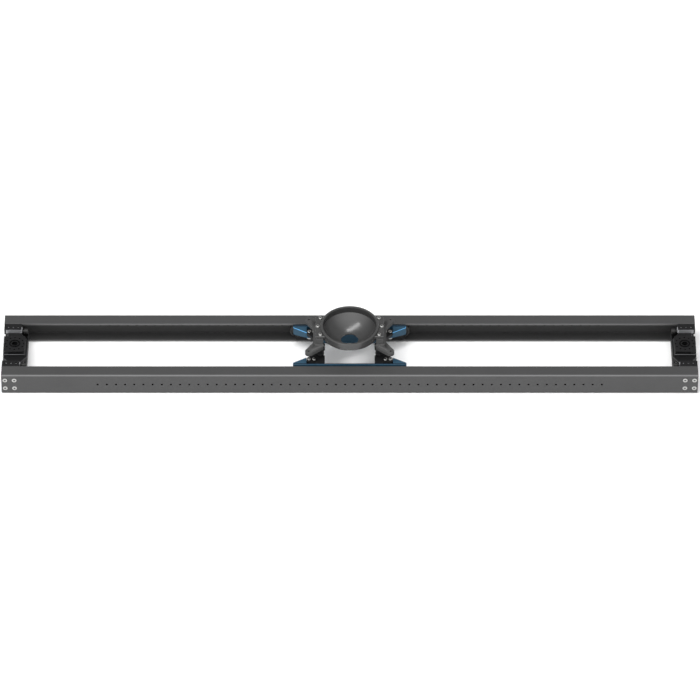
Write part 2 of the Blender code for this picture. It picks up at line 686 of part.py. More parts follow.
def make_wheel(place, x_side, y_side):
    """A running wheel with its bearing and its axle, which goes through the truck."""
    centre = (x_side * WHEEL_X, y_side * WHEEL_Y, WHEEL_Z)
    outwards = (0, y_side, 0)
    half = WHEEL_WIDTH / 2
    bore = BEARING_RADIUS + GAP
    tread = [
        (WHEEL_RADIUS - 2 * MM, half),
        (WHEEL_RADIUS, half - 2 * MM),
        (WHEEL_RADIUS, 2 * MM - half),
        (WHEEL_RADIUS - 2 * MM, -half),
        (bore, -half),
        (bore, half),
    ]
    turned(f"{place}_wheel", tread, centre, outwards, WHEEL_NYLON, WHEEL_SIDES)
    race = [
        (BEARING_RADIUS, BEARING_WIDTH / 2),
        (BEARING_RADIUS, -BEARING_WIDTH / 2),
        (AXLE_RADIUS + GAP, -BEARING_WIDTH / 2),
        (AXLE_RADIUS + GAP, BEARING_WIDTH / 2),
    ]
    turned(f"{place}_wheel_bearing", race, centre, outwards, BOLT_STEEL)
    collar_end = WHEEL_Y - BEARING_WIDTH / 2 - GAP
    head_start = WHEEL_Y + BEARING_WIDTH / 2 + GAP
    head_end = head_start + 9 * MM
    nut_end = SIDE_OUTER
    axle = [
        (AXLE_COLLAR_RADIUS, head_end),
        (AXLE_COLLAR_RADIUS, head_start),
        (AXLE_RADIUS, head_start),
        (AXLE_RADIUS, collar_end),
        (AXLE_COLLAR_RADIUS, collar_end),
        (AXLE_COLLAR_RADIUS, TRUCK_OUTER + GAP),
        (AXLE_RADIUS, TRUCK_OUTER + GAP),
        (AXLE_RADIUS, nut_end),
        (AXLE_COLLAR_RADIUS, nut_end),
        (AXLE_COLLAR_RADIUS, nut_end - 6 * MM),
        (0, nut_end - 6 * MM),
        (0, head_end),
    ]
    turned(f"{place}_wheel_axle", axle, (centre[0], 0, WHEEL_Z), outwards, BOLT_STEEL, 12)


def make_guide_roller(place, x_side, y_side):
    """A roller with an upright axis, which keeps the carriage straight between the rails."""
    half = ROLLER_HEIGHT / 2
    bore = GUIDE_PIN_RADIUS + GAP
    tyre = [
        (ROLLER_RADIUS, half),
        (ROLLER_RADIUS, -half),
        (bore, -half),
        (bore, half),
    ]
    centre = (x_side * ROLLER_X, y_side * ROLLER_Y, ROLLER_Z)
    turned(f"{place}_guide_roller", tyre, centre, (0, 0, 1), WHEEL_NYLON)


def make_truck(place, x_side, y_side):
    """A plate on the side plate's outer face. It holds the wheel's axle, and an arm with the roller's pin."""
    plate_y = span(SIDE_OUTER + GAP, TRUCK_OUTER, y_side)
    truck = block(f"{place}_truck", span(*TRUCK_X, x_side), plate_y, TRUCK_Z, BRACKET_BLACK)
    x = x_side * ROLLER_X
    y = y_side * ROLLER_Y
    arm_x = (x - GUIDE_ARM_HALF_WIDTH, x + GUIDE_ARM_HALF_WIDTH)
    arm_y = span(TRUCK_OUTER - 1 * MM, WEB_INNER - 2 * MM, y_side)
    arm = block(f"{place}_guide_arm", arm_x, arm_y, GUIDE_ARM_Z)
    cap_top = ROLLER_Z - ROLLER_HEIGHT / 2 - GAP
    cap_z = cap_top - GUIDE_CAP_HEIGHT / 2
    cap = cylinder(f"{place}_guide_cap", GUIDE_CAP_RADIUS, GUIDE_CAP_HEIGHT, (x, y, cap_z), (0, 0, 1))
    pin_z = (cap_z, GUIDE_ARM_Z[1] - 2 * MM)
    pin_centre = (x, y, sum(pin_z) / 2)
    pin = cylinder(f"{place}_guide_pin", GUIDE_PIN_RADIUS, pin_z[1] - pin_z[0], pin_centre, (0, 0, 1))
    axle = (x_side * WHEEL_X, y_side * TRUCK_OUTER, WHEEL_Z)
    axle_hole = cylinder(f"{place}_axle_hole", AXLE_RADIUS + GAP, 30 * MM, axle, (0, 1, 0))
    join(truck, arm, pin, cap)
    cut(truck, axle_hole)


def main():
    for face, y_side in FACES.items():
        make_rail(face, y_side)
        make_side_plate(face, y_side)
    make_bowl()
    for end, x_side in ENDS.items():
        make_end_bracket(end, x_side)
        make_cross_member(end, x_side)
        make_arm(end, x_side)
        make_arm_bolts(end, x_side)
        make_posts(end, x_side)
        for face, y_side in FACES.items():
            make_bumper(end, face, x_side, y_side)
            make_wheel(f"{end}_{face}", x_side, y_side)
            make_guide_roller(f"{end}_{face}", x_side, y_side)
            make_truck(f"{end}_{face}", x_side, y_side)
            for place, across in zip(("inner", "outer"), CLAMP_BOLTS_X):
                centre = (x_side * across, y_side * CLAMP_BOLT_Y)
                make_clamp_bolt(f"{end}_{face}_{place}_clamp_bolt", centre)


main()
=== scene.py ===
"""Looks of the camera slider: fine meshes, materials, studio light and the camera.

Metres, in the frame of the CAD model: X along the rails, +Y to the rear, +Z up, the floor at zero.
A piece that stands for a CAD node has the node's name with _form after it.
"""

import math

import bmesh
import bpy
from mathutils import Matrix, Vector


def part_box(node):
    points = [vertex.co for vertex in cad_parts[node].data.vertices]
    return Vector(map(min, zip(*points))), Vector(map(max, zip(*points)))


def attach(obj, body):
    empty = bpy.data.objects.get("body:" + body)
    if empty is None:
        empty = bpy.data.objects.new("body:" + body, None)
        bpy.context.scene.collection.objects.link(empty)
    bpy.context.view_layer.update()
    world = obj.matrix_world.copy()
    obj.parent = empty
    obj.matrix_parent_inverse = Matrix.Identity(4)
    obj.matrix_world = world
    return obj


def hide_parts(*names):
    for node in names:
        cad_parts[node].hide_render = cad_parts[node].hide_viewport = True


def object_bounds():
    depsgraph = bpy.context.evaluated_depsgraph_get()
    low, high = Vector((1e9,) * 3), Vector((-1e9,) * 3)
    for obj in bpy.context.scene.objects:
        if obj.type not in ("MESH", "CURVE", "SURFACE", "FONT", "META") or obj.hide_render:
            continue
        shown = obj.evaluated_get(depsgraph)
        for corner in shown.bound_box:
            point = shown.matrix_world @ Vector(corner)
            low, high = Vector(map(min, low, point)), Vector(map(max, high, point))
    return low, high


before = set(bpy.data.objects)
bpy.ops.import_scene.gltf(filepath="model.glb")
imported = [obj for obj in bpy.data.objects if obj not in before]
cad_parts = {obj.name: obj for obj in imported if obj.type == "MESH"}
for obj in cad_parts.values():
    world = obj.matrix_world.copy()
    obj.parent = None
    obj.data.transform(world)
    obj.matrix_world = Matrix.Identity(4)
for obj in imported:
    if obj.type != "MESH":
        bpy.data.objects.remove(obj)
cad_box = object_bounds()

MM = 0.001
GAP = 0.3 * MM
ENDS = {"left": -1, "right": 1}
FACES = {"front": -1, "rear": 1}
ROUND_STEPS = 32
THROUGH = 40 * MM
UPRIGHT = Matrix.Identity(4)
ALONG_X = Matrix(((0, 0, 1, 0), (1, 0, 0, 0), (0, 1, 0, 0), (0, 0, 0, 1)))
ALONG_Y = Matrix(((1, 0, 0, 0), (0, 0, 1, 0), (0, 1, 0, 0), (0, 0, 0, 1)))

# Camera.
CAMERA_ELEVATION = math.radians(42)
CAMERA_DISTANCE = 15.69
CAMERA_AIM = Vector((0.0008, 0.0523, 0.0))
CAMERA_LENS = 293

# Room and softbox.
ROOM_BRIGHT_SIDE = (-0.15, -0.86, 0.50)
ROOM_STRENGTH = (0.5, 2.55)
FLOOR_HALF_SIZE = 12
STRIP_TOWARDS = (-0.22, -0.10, 0.97)
STRIP_ALONG = (0.56, 0.31, 0.05)
STRIP_DISTANCE = 6
STRIP_SIZE = (5.2, 1.2)
STRIP_POWER = 190

# Rails.
RAIL_WALL = 6 * MM
RAIL_CHAMFER = 3 * MM
RAIL_HOLE_COUNT = 56
RAIL_HOLE_PITCH = 25 * MM
RAIL_HOLE_RADIUS = 3.0 * MM
RAIL_BOLTS_FROM_END = (10 * MM, 35.4 * MM)
RAIL_BOLT_HALF_SPACING = 14.2 * MM
RAIL_BOLT_RADIUS = 3.2 * MM
RAIL_BOLT_HEAD_RADIUS = 6.4 * MM
RAIL_BOLT_HEAD = 3.4 * MM
RAIL_BOLT_LENGTH = 16 * MM

# End brackets.
BRACKET_STEP = 36 * MM
TROUGH_TOP = 53 * MM
TROUGH_HALF_WIDTH = 64 * MM
CORNER_HALF_WIDTH = 34 * MM
EAR_INNER = 902 * MM
NOTCH_DEPTH = 9 * MM
NOTCH_HALF_WIDTHS = (40 * MM, 48 * MM)
EAR_BOTTOM = 10 * MM
EAR_NOTCH_TOP = 48 * MM
BAR_SEAT_WIDTH = 12 * MM
PLINTH_INNER = 888 * MM
PLINTH_ROOT = 50 * MM
PLINTH_TOP = 60 * MM
PLINTH_HALF_WIDTH = 33 * MM
PAD_HALF_WIDTH = 31 * MM
PAD_INNER = 890 * MM
PAD_ROOT = 55 * MM
STRAP_SLOT_X = (896 * MM, 935 * MM)
STRAP_SLOT_Z = (60.5 * MM, 66 * MM)
PAD_CENTRE = 917.5 * MM
PAD_BORE_RADIUS = 8.5 * MM
PAD_GROOVE = (10.6 * MM, 15.4 * MM)
PAD_GROOVE_DEPTH = 2.8 * MM
PAD_HOLE_COUNT = 12
PAD_HOLE_CIRCLE = 24.5 * MM
PAD_HOLE_RADIUS = 2.3 * MM
EAR_HOLES_X = (911 * MM, 924.5 * MM, 938 * MM)
EAR_HOLE_Y = 73.6 * MM
TAPPED_HOLE = (2.5 * MM, 4 * MM)
SHELL_WALL = 7 * MM

# Carriage.
SIDE_MIDDLE_HALF = 98 * MM
SIDE_SLOPE = 10 * MM
SIDE_END_BOTTOM = 38 * MM
SIDE_LIP = 1.2 * MM
SIDE_GROOVE_DEPTH = 0.6 * MM
WING_CHAMFER = 2.2 * MM
WING_BOTTOM = 45.5 * MM
WING_TIP_BOTTOM = 39.6 * MM
WING_TOP = 65.5 * MM
WING_CORNER_Y = 71 * MM
WING_KNEE = (118 * MM, 50 * MM)
WING_INNER = 89 * MM
CLAMP_BOLTS_X = (97.5 * MM, 111 * MM)
CLAMP_BOLT_Y = 56.4 * MM
CLAMP_NUT_RADIUS = 6.5 * MM
CLAMP_NUT = 4.5 * MM
BOLT_RADIUS = 3 * MM
BOLT_HEAD_RADIUS = 5.2 * MM
CROSS_SCALLOP = 4 * MM
CROSS_SCALLOP_Y = (8 * MM, 41 * MM)
CROSS_PAD_Y = (45 * MM, 69 * MM)
CROSS_CORNER = 9 * MM
CROSS_WAIST = 97 * MM
CROSS_WAIST_HALF_WIDTH = 24 * MM
ARM_TOP = 102 * MM
ARM_ROOT_HALF_WIDTH = 47 * MM
ARM_WAIST = 100 * MM
ARM_WAIST_HALF_WIDTH = 29 * MM
EAR_CENTRE = (112 * MM, 64.6 * MM)
EAR_RADIUS = 9.8 * MM
EAR_HOLE_RADIUS = 2.6 * MM
PEDESTAL_HALF_WIDTH = 41 * MM
PEDESTAL_INNER = 60 * MM
PEDESTAL_OUTER = 93 * MM
PEDESTAL_FLARE = 4 * MM
ARM_BOLT_CIRCLE = 87 * MM
ARM_BOLT_ANGLE = math.radians(22.7)

# Bowl.
MOUTH_RADIUS = 73.25 * MM
MOUTH_DEPTH = 16.7 * MM
COLLAR_HEIGHT = 22.3 * MM
SEAT_RADIUS = 72.5 * MM
SEAT_BOTTOM = 86.2 * MM
BOWL_WALL = 4.5 * MM
BOWL_HOLE_RADIUS = 23.75 * MM
BOWL_CLEARANCE = 83 * MM
LUG_TOP = 133 * MM
LUG_THICKNESS = 8 * MM
BOWL_STEPS = 144

# Running gear.
BEARING_SEAT_RADIUS = 11.3 * MM
AXLE_HOLE_RADIUS = 4.3 * MM
ROLLER_ARM_Z = (41 * MM, 50 * MM)


# ---------------------------------------------------------------- mesh tools


def solid(name, shape):
    """An object from a bmesh, with its faces turned outwards."""
    bmesh.ops.recalc_face_normals(shape, faces=shape.faces)
    mesh = bpy.data.meshes.new(name)
    shape.to_mesh(mesh)
    shape.free()
    item = bpy.data.objects.new(name, mesh)
    bpy.context.scene.collection.objects.link(item)
    return item


def apply_modifiers(item):
    graph = bpy.context.evaluated_depsgraph_get()
    mesh = bpy.data.meshes.new_from_object(item.evaluated_get(graph))
    item.modifiers.clear()
    item.data = mesh
    return item


def prism(outline, low, high, placing=UPRIGHT):
    """A flat outline swept between two heights along its normal, and then placed."""
    shape = bmesh.new()
    corners = [shape.verts.new((across, along, low)) for across, along in outline]
    face = shape.faces.new(corners)
    swept = bmesh.ops.extrude_face_region(shape, geom=[face])
    top = [part for part in swept["geom"] if isinstance(part, bmesh.types.BMVert)]
    bmesh.ops.translate(shape, verts=top, vec=(0, 0, high - low))
    shape.transform(placing)
    return solid("prism", shape)


def block(x_span, y_span, z_span):
    corners = ((0, 0), (1, 0), (1, 1), (0, 1))
    outline = [(x_span[x], y_span[y]) for x, y in corners]
    return prism(outline, z_span[0], z_span[1])


def turn_to(axis):
    """The rotation that takes +Z to the named axis."""
    return Vector((0, 0, 1)).rotation_difference(Vector(axis)).to_matrix().to_4x4()


def add_turned(shape, profile, placing, steps):
    """Turns a profile of (radius, height) points about Z, and adds it to the bmesh. A profile that
    starts and ends on the axis is closed by it."""
    part = bmesh.new()
    points = [part.verts.new((radius, 0, height)) for radius, height in profile]
    pairs = list(zip(points, points[1:]))
    if profile[0][0] > 0 or profile[-1][0] > 0:
        pairs.append((points[-1], points[0]))
    edges = [part.edges.new(pair) for pair in pairs]
    bmesh.ops.spin(
        part,
        geom=points + edges,
        axis=(0, 0, 1),
        cent=(0, 0, 0),
        angle=math.tau,
        steps=steps,
        use_merge=True,
    )
    bmesh.ops.remove_doubles(part, verts=part.verts, dist=0.002 * MM)
    part.transform(placing)
    mesh = bpy.data.meshes.new("part")
    part.to_mesh(mesh)
    part.free()
    shape.from_mesh(mesh)
    bpy.data.meshes.remove(mesh)


def turned(profile, centre=(0, 0, 0), axis=(0, 0, 1), steps=ROUND_STEPS):
    shape = bmesh.new()
    add_turned(shape, profile, Matrix.Translation(centre) @ turn_to(axis), steps)
    return solid("turned", shape)


def round_room(radius, low, high, steps):
    """An upright round cutter about the bowl's axis."""
    return turned([(0, high), (radius, high), (radius, low), (0, low)], steps=steps)


def hole_profile(radius, depth, chamfer):
    """A drill for a hole down from height zero, with a chamfered mouth where the chamfer isn't zero."""
    mouth = radius + chamfer
    return [(0, 1 * MM), (mouth, 1 * MM), (mouth, 0), (radius, -chamfer), (radius, -depth), (0, -depth)]


def drill(centres, profile, axis=(0, 0, 1), steps=24):
    """One cutter with the profile at each centre. The axis points out of the hole's mouth."""
    shape = bmesh.new()
    for centre in centres:
        add_turned(shape, profile, Matrix.Translation(centre) @ turn_to(axis), steps)
    return solid("drill", shape)


def add_slot_materials(item, finish_and_painted_light):
    for material in finish_and_painted_light:
        item.data.materials.append(material)
    return item


def lined(cutter, finish_and_painted_light):
    """Gives the faces that the cutter leaves behind the last of the materials, a dark colour that is
    painted shade.
    """
    add_slot_materials(cutter, finish_and_painted_light)
    for face in cutter.data.polygons:
        face.material_index = len(finish_and_painted_light) - 1
    return cutter


def combine(target, operation, tools):
    for tool in tools:
        boolean = target.modifiers.new("combine", "BOOLEAN")
        boolean.operation = operation
        boolean.solver = "EXACT"
        boolean.object = tool
    apply_modifiers(target)
    for tool in tools:
        bpy.data.objects.remove(tool)
    return target


def carve(target, *tools):
    return combine(target, "DIFFERENCE", tools)


def unite(target, *tools):
    return combine(target, "UNION", tools)


def gather(target, *others):
    """Makes several closed shells one object."""
    shape = bmesh.new()
    for item in (target, *others):
        shape.from_mesh(item.data)
    for item in (target, *others):
        bpy.data.objects.remove(item)
    return solid("gathered", shape)


def soften(item, width, segments=2):
    """Rounds or chamfers the sharp edges."""
    bevel = item.modifiers.new("soften", "BEVEL")
    bevel.width = width
    bevel.segments = segments
    bevel.limit_method = "ANGLE"
    bevel.angle_limit = math.radians(25)
    bevel.miter_outer = "MITER_ARC"
    return apply_modifiers(item)


def mark_chamfers(item, finish_and_painted_light):
    """Gives the slanting faces of the piece the second of its materials, a lighter colour that is a painted
    highlight.
    """
    add_slot_materials(item, finish_and_painted_light)
    for face in item.data.polygons:
        if 0.3 < abs(face.normal.z) < 0.95:
            face.material_index = 1
    return item


def moved(item, placing):
    """A copy of the piece, placed by a matrix, which may mirror it."""
    shape = bmesh.new()
    shape.from_mesh(item.data)
    shape.transform(placing)
    copy = solid(item.name, shape)
    for material in item.data.materials:
        copy.data.materials.append(material)
    return copy


def mirror(item, x_side, y_side):
    return moved(item, Matrix.Diagonal((x_side, y_side, 1, 1)))


def dress(item, node, material, slot, body):
    """Shades the piece, and puts it in the place of its CAD node."""
    item.name = f"{node}_form"
    item.data.name = item.name
    if not item.data.materials:
        item.data.materials.append(material)
    item.data.shade_smooth()
    item.data.set_sharp_from_angle(angle=math.radians(40))
    normals = item.modifiers.new("flat faces stay flat", "WEIGHTED_NORMAL")
    normals.keep_sharp = True
    apply_modifiers(item)
    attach(item, body)
    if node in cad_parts:
        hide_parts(node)
    return item


def discard(*items):
    for item in items:
        bpy.data.objects.remove(item)


def arc(centre, radius, start, end, count):
    """Points on an arc between two angles in degrees."""
    angles = [math.radians(start + (end - start) * step / count) for step in range(count + 1)]
    return [(centre[0] + radius * math.cos(a), centre[1] + radius * math.sin(a)) for a in angles]


def both_halves(rear_half):
    """A whole outline from the half at positive Y, listed from its inner to its outer side."""
    return rear_half + [(across, -along) for across, along in reversed(rear_half)]


def hexagon(across_flats, centre=(0, 0)):
    radius = across_flats / math.sqrt(3)
    return arc(centre, radius, 0, 300, 5)


# ---------------------------------------------------------------- materials


def add_node(tree, kind, inputs=None, **settings):
    """A shader node with its settings. An input is a value, or another node's output to link."""
    made = tree.nodes.new(f"ShaderNode{kind}")
    for name, value in settings.items():
        setattr(made, name, value)
    for name, value in (inputs or {}).items():
        if isinstance(value, bpy.types.NodeSocket):
            tree.links.new(value, made.inputs[name])
        else:
            made.inputs[name].default_value = value
    return made


def math_node(tree, operation, first, second):
    made = add_node(tree, "Math", {0: first, 1: second}, operation=operation)
    return made.outputs[0]


def remap(tree, value, low, high, to_low, to_high):
    """Stretches a value from one range to another, and keeps it inside."""
    inputs = {"Value": value, "From Min": low, "From Max": high, "To Min": to_low, "To Max": to_high}
    return add_node(tree, "MapRange", inputs).outputs[0]


def noise(tree, vector, scale, detail=2.0, rough=0.5):
    inputs = {"Vector": vector, "Scale": scale, "Detail": detail, "Roughness": rough}
    return add_node(tree, "TexNoise", inputs).outputs["Fac"]


def stretched(tree, vector, scale):
    return add_node(tree, "Mapping", {"Vector": vector, "Scale": scale}).outputs[0]


def edge_mask(tree, vector, radius):
    """One near a sharp edge and zero on flat surfaces, broken up a little."""
    rounded = add_node(tree, "Bevel", {"Radius": radius}, samples=4).outputs[0]
    normal = add_node(tree, "NewGeometry").outputs["Normal"]
    facing = add_node(tree, "VectorMath", {0: rounded, 1: normal}, operation="DOT_PRODUCT")
    edge = remap(tree, facing.outputs["Value"], 0.995, 0.90, 0.0, 1.0)
    broken = remap(tree, noise(tree, vector, 260.0, 3.0, 0.6), 0.35, 0.6, 0.35, 1.0)
    return math_node(tree, "MULTIPLY", edge, broken)


def mix_colour(tree, amount, first, second):
    made = add_node(tree, "Mix", data_type="RGBA")
    for index, value in ((0, amount), (6, first), (7, second)):
        if isinstance(value, bpy.types.NodeSocket):
            tree.links.new(value, made.inputs[index])
        elif index == 0:
            made.inputs[index].default_value = value
        else:
            made.inputs[index].default_value = (*value, 1)
    return made.outputs[2]


def shade(colour, factor):
    return tuple(channel * factor for channel in colour)


def surface(
    name,
    colour,
    roughness,
    metallic,
    grain=900.0,
    depth=0.05,
    mottle=0.12,
    wear_and_sheen=0.0,
    lines=None,
    specular=0.5,
):
    """A surface with blasted grain, soft mottling, edges made lighter partly as wear and partly as a
    painted edge highlight and, where asked for, fine lines along one direction."""
    material = bpy.data.materials.new(name)
    material.use_nodes = True
    tree = material.node_tree
    shader = tree.nodes["Principled BSDF"]
    place = add_node(tree, "TexCoord").outputs["Object"]
    cloudy = noise(tree, place, 14.0, 4.0, 0.55)
    speckle = noise(tree, place, grain, 2.0, 0.7)
    base = mix_colour(tree, cloudy, shade(colour, 1 - mottle), shade(colour, 1 + mottle))
    fleck = remap(tree, speckle, 0.35, 0.65, 0.0, 1.0)
    base = mix_colour(tree, math_node(tree, "MULTIPLY", fleck, 0.35), base, shade(colour, 1.55))
    # Lighter edges: partly wear, partly a painted edge highlight.
    if wear_and_sheen:
        worn_and_sheen = math_node(tree, "MULTIPLY", edge_mask(tree, place, 0.8 * MM), wear_and_sheen)
        base = mix_colour(tree, worn_and_sheen, base, tuple(min(1.0, channel * 2.2 + 0.03) for channel in colour))
    tree.links.new(base, shader.inputs["Base Color"])
    height = speckle
    if lines:
        streaks = noise(tree, stretched(tree, place, lines), 1.0, 3.0, 0.6)
        height = math_node(tree, "ADD", speckle, streaks)
    uneven = remap(tree, height, 0.2, 0.9, roughness - 0.07, roughness + 0.07)
    tree.links.new(uneven, shader.inputs["Roughness"])
    bump = add_node(tree, "Bump", {"Height": height, "Strength": depth, "Distance": 0.2 * MM})
    tree.links.new(bump.outputs[0], shader.inputs["Normal"])
    shader.inputs["Metallic"].default_value = metallic
    shader.inputs["Specular IOR Level"].default_value = specular
    return material


def turned_surface(name, colour, roughness, metallic):
    """A lathe-turned surface: fine rings round the upright axis, and a highlight drawn out across them."""
    material = bpy.data.materials.new(name)
    material.use_nodes = True
    tree = material.node_tree
    shader = tree.nodes["Principled BSDF"]
    place = add_node(tree, "TexCoord").outputs["Object"]
    parts = add_node(tree, "SeparateXYZ", {0: place})
    flat = add_node(tree, "CombineXYZ", {0: parts.outputs[0], 1: parts.outputs[1]})
    radius = add_node(tree, "VectorMath", {0: flat.outputs[0]}, operation="LENGTH").outputs["Value"]
    rings_at = add_node(tree, "CombineXYZ", {0: radius, 1: parts.outputs[2]}).outputs[0]
    rings = noise(tree, rings_at, 1500.0, 2.0, 0.6)
    wide_rings = noise(tree, rings_at, 180.0, 3.0, 0.6)
    cloudy = noise(tree, place, 20.0, 4.0, 0.55)
    base = mix_colour(tree, cloudy, shade(colour, 0.88), shade(colour, 1.12))
    base = mix_colour(tree, math_node(tree, "MULTIPLY", wide_rings, 0.4), base, shade(colour, 1.25))
    # Lighter edges: partly wear, partly a painted edge highlight.
    worn_and_sheen = math_node(tree, "MULTIPLY", edge_mask(tree, place, 0.8 * MM), 0.5)
    base = mix_colour(tree, worn_and_sheen, base, shade(colour, 2.4))
    tree.links.new(base, shader.inputs["Base Color"])
    uneven = remap(tree, wide_rings, 0.3, 0.7, roughness - 0.04, roughness + 0.05)
    tree.links.new(uneven, shader.inputs["Roughness"])
    height = math_node(tree, "ADD", rings, math_node(tree, "MULTIPLY", noise(tree, place, 900.0), 0.6))
    bump = add_node(tree, "Bump", {"Height": height, "Strength": 0.08, "Distance": 0.2 * MM})
    tree.links.new(bump.outputs[0], shader.inputs["Normal"])
    tangent = add_node(tree, "Tangent", direction_type="RADIAL", axis="Z")
    tree.links.new(tangent.outputs[0], shader.inputs["Tangent"])
    shader.inputs["Anisotropic"].default_value = 0.45
    shader.inputs["Metallic"].default_value = metallic
    return material


# The wear amount lightens the edges, partly as wear and partly as a painted edge highlight.
RAIL_GREY = surface(
    "rail_anodised", (0.046, 0.046, 0.0465), 0.5, 0.35, wear_and_sheen=0.35, lines=(3.0, 900.0, 900.0)
)
# Lighter colour on the rails' chamfers and flange edges: a painted highlight.
RAIL_EDGE_HIGHLIGHT = surface("rail_chamfer_painted_highlight", (0.096, 0.096, 0.097), 0.42, 0.45, lines=(3.0, 900.0, 900.0))
# Darker colour inside the rails' channel: painted shade.
RAIL_INSIDE_SHADE = surface("rail_inside_painted_shade", (0.029, 0.029, 0.029), 0.6, 0.2, lines=(3.0, 700.0, 700.0))
ARM_GREY = surface("arm_blasted", (0.048, 0.048, 0.048), 0.65, 0.3, grain=700.0, depth=0.12, wear_and_sheen=0.45)
BOWL_GREY = turned_surface("bowl_turned", (0.054, 0.054, 0.054), 0.22, 0.4)
BRACKET_BLACK = surface(
    "bracket_black", (0.004, 0.004, 0.0045), 0.55, 0.1, grain=800.0, depth=0.1, wear_and_sheen=0.9, specular=0.25
)
# Lighter colour on the brackets' chamfers: a painted highlight.
BRACKET_EDGE_HIGHLIGHT = surface("bracket_edge_painted_highlight", (0.035, 0.036, 0.038), 0.45, 0.3, grain=800.0, depth=0.08)
# Near-black lining of holes, grooves and the brackets' base top: painted shade.
HOLE_PAINTED_SHADE = surface("hole_painted_shade", (0.0015, 0.0015, 0.0015), 0.8, 0.0, grain=800.0, specular=0.1)
PLATE_BLUE = surface("plate_blue", (0.021, 0.065, 0.108), 0.46, 0.5, wear_and_sheen=0.5, lines=(2.0, 600.0, 600.0))
# Bright blue on the wings' chamfers: a painted highlight.
WING_EDGE_HIGHLIGHT = surface("wing_edge_painted_highlight", (0.110, 0.360, 0.680), 0.35, 0.5, lines=(2.0, 600.0, 600.0))
# Dark lining of the side plates' top groove: painted shade.
PLATE_SHADE = surface(
    "plate_groove_painted_shade", (0.006, 0.016, 0.028), 0.6, 0.3, lines=(2.0, 600.0, 600.0), specular=0.3
)
BARE_METAL = surface("bare_aluminium", (0.36, 0.365, 0.38), 0.38, 0.7, wear_and_sheen=0.5, lines=(4.0, 900.0, 900.0))
BOLT_STEEL = surface("bolt_zinc", (0.42, 0.42, 0.41), 0.30, 1.0, grain=1500.0, depth=0.04, mottle=0.06)
# Darker colour in the screws' hexagon pockets: painted shade.
SOCKET_PAINTED_SHADE = surface("socket_painted_shade", (0.10, 0.10, 0.10), 0.5, 0.7, grain=1500.0)
AXLE_BLACK = surface("axle_black_oxide", (0.012, 0.012, 0.012), 0.4, 0.6, grain=1500.0, depth=0.04)
RUBBER = surface("rubber", (0.008, 0.008, 0.008), 0.55, 0.0, grain=600.0, depth=0.15, specular=0.35)
WHEEL_NYLON = surface("wheel_nylon", (0.012, 0.012, 0.012), 0.45, 0.0, grain=500.0, depth=0.06)
# Each tuple: the part's own finish, then a painted highlight, and last painted shade; the rails' third is
# their channel's painted shade.
RAIL_FINISH_AND_PAINTED_LIGHT = (RAIL_GREY, RAIL_EDGE_HIGHLIGHT, RAIL_INSIDE_SHADE, HOLE_PAINTED_SHADE)
BRACKET_FINISH_AND_PAINTED_LIGHT = (BRACKET_BLACK, BRACKET_EDGE_HIGHLIGHT, HOLE_PAINTED_SHADE)
PLATE_FINISH_AND_PAINTED_LIGHT = (PLATE_BLUE, WING_EDGE_HIGHLIGHT, PLATE_SHADE)


# ---------------------------------------------------------------- fasteners


def socket_screw(head, across_flats, pocket):
    """A screw from its head's and shank's profile, with painted shade in its hexagon pocket."""
    top = head[0][1]
    screw = turned(head)
    carve(screw, prism(hexagon(across_flats), top - pocket, top + 1 * MM))
    screw.data.materials.append(BOLT_STEEL)
    screw.data.materials.append(SOCKET_PAINTED_SHADE)
    # The pocket's walls and floor get painted shade.
    reach = across_flats / math.sqrt(3) + 0.05 * MM
    for face in screw.data.polygons:
        inside = math.hypot(face.center.x, face.center.y) < reach
        if inside and top - pocket - 0.01 * MM < face.center.z < top - 0.05 * MM:
            face.material_index = 1
    return screw


def countersunk_screw():
    """A rail's end screw. Its head's face is at height zero."""
    rim = RAIL_BOLT_HEAD_RADIUS
    head = [
        (0, 0),
        (rim - 0.3 * MM, 0),
        (rim, -0.3 * MM),
        (rim, -0.7 * MM),
        (RAIL_BOLT_RADIUS, -RAIL_BOLT_HEAD),
        (RAIL_BOLT_RADIUS, 0.5 * MM - RAIL_BOLT_LENGTH),
        (RAIL_BOLT_RADIUS - 0.6 * MM, -RAIL_BOLT_LENGTH),
        (0, -RAIL_BOLT_LENGTH),
    ]
    return socket_screw(head, 5.6 * MM, 2.4 * MM)


def cap_screw(head_height, shank_length):
    """A round-headed screw, whose head stands on height zero."""
    edge = BOLT_HEAD_RADIUS
    head = [
        (0, head_height),
        (edge - 1.3 * MM, head_height),
        (edge - 0.5 * MM, head_height - 0.35 * MM),
        (edge, head_height - 1.1 * MM),
        (edge, 0.3 * MM),
        (edge - 0.3 * MM, 0),
        (BOLT_RADIUS, 0),
        (BOLT_RADIUS, -shank_length),
        (0, -shank_length),
    ]
    return socket_screw(head, 4.2 * MM, min(2.2 * MM, head_height - 0.4 * MM))


def hexagon_nut(radius, height):
    """A nut with chamfered corners and its bore, standing on height zero."""
    nut = prism(hexagon(radius * math.sqrt(3)), 0, height)
    crown = 0.7 * MM
    outside = [
        (radius * 0.86, height + 1 * MM),
        (radius * 2, height + 1 * MM),
        (radius * 2, height - crown * 1.4),
        (radius * 1.02, height - crown),
        (radius * 0.86, height),
    ]
    bore = hole_profile(BOLT_RADIUS + 0.2 * MM, 3 * height, 0.4 * MM)
    return carve(nut, turned(outside), drill([(0, 0, height)], bore))


# ---------------------------------------------------------------- rails


def rail_bolt_places(face_y, side):
    """The centres of one rail's end screws, on its outer face."""
    rail_end = cad_box[1].x
    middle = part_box("front_rail")[1].z / 2
    return [
        (end * (rail_end - inset), face_y * side, middle + rise)
        for end in ENDS.values()
        for inset in RAIL_BOLTS_FROM_END
        for rise in (-RAIL_BOLT_HALF_SPACING, RAIL_BOLT_HALF_SPACING)
    ]


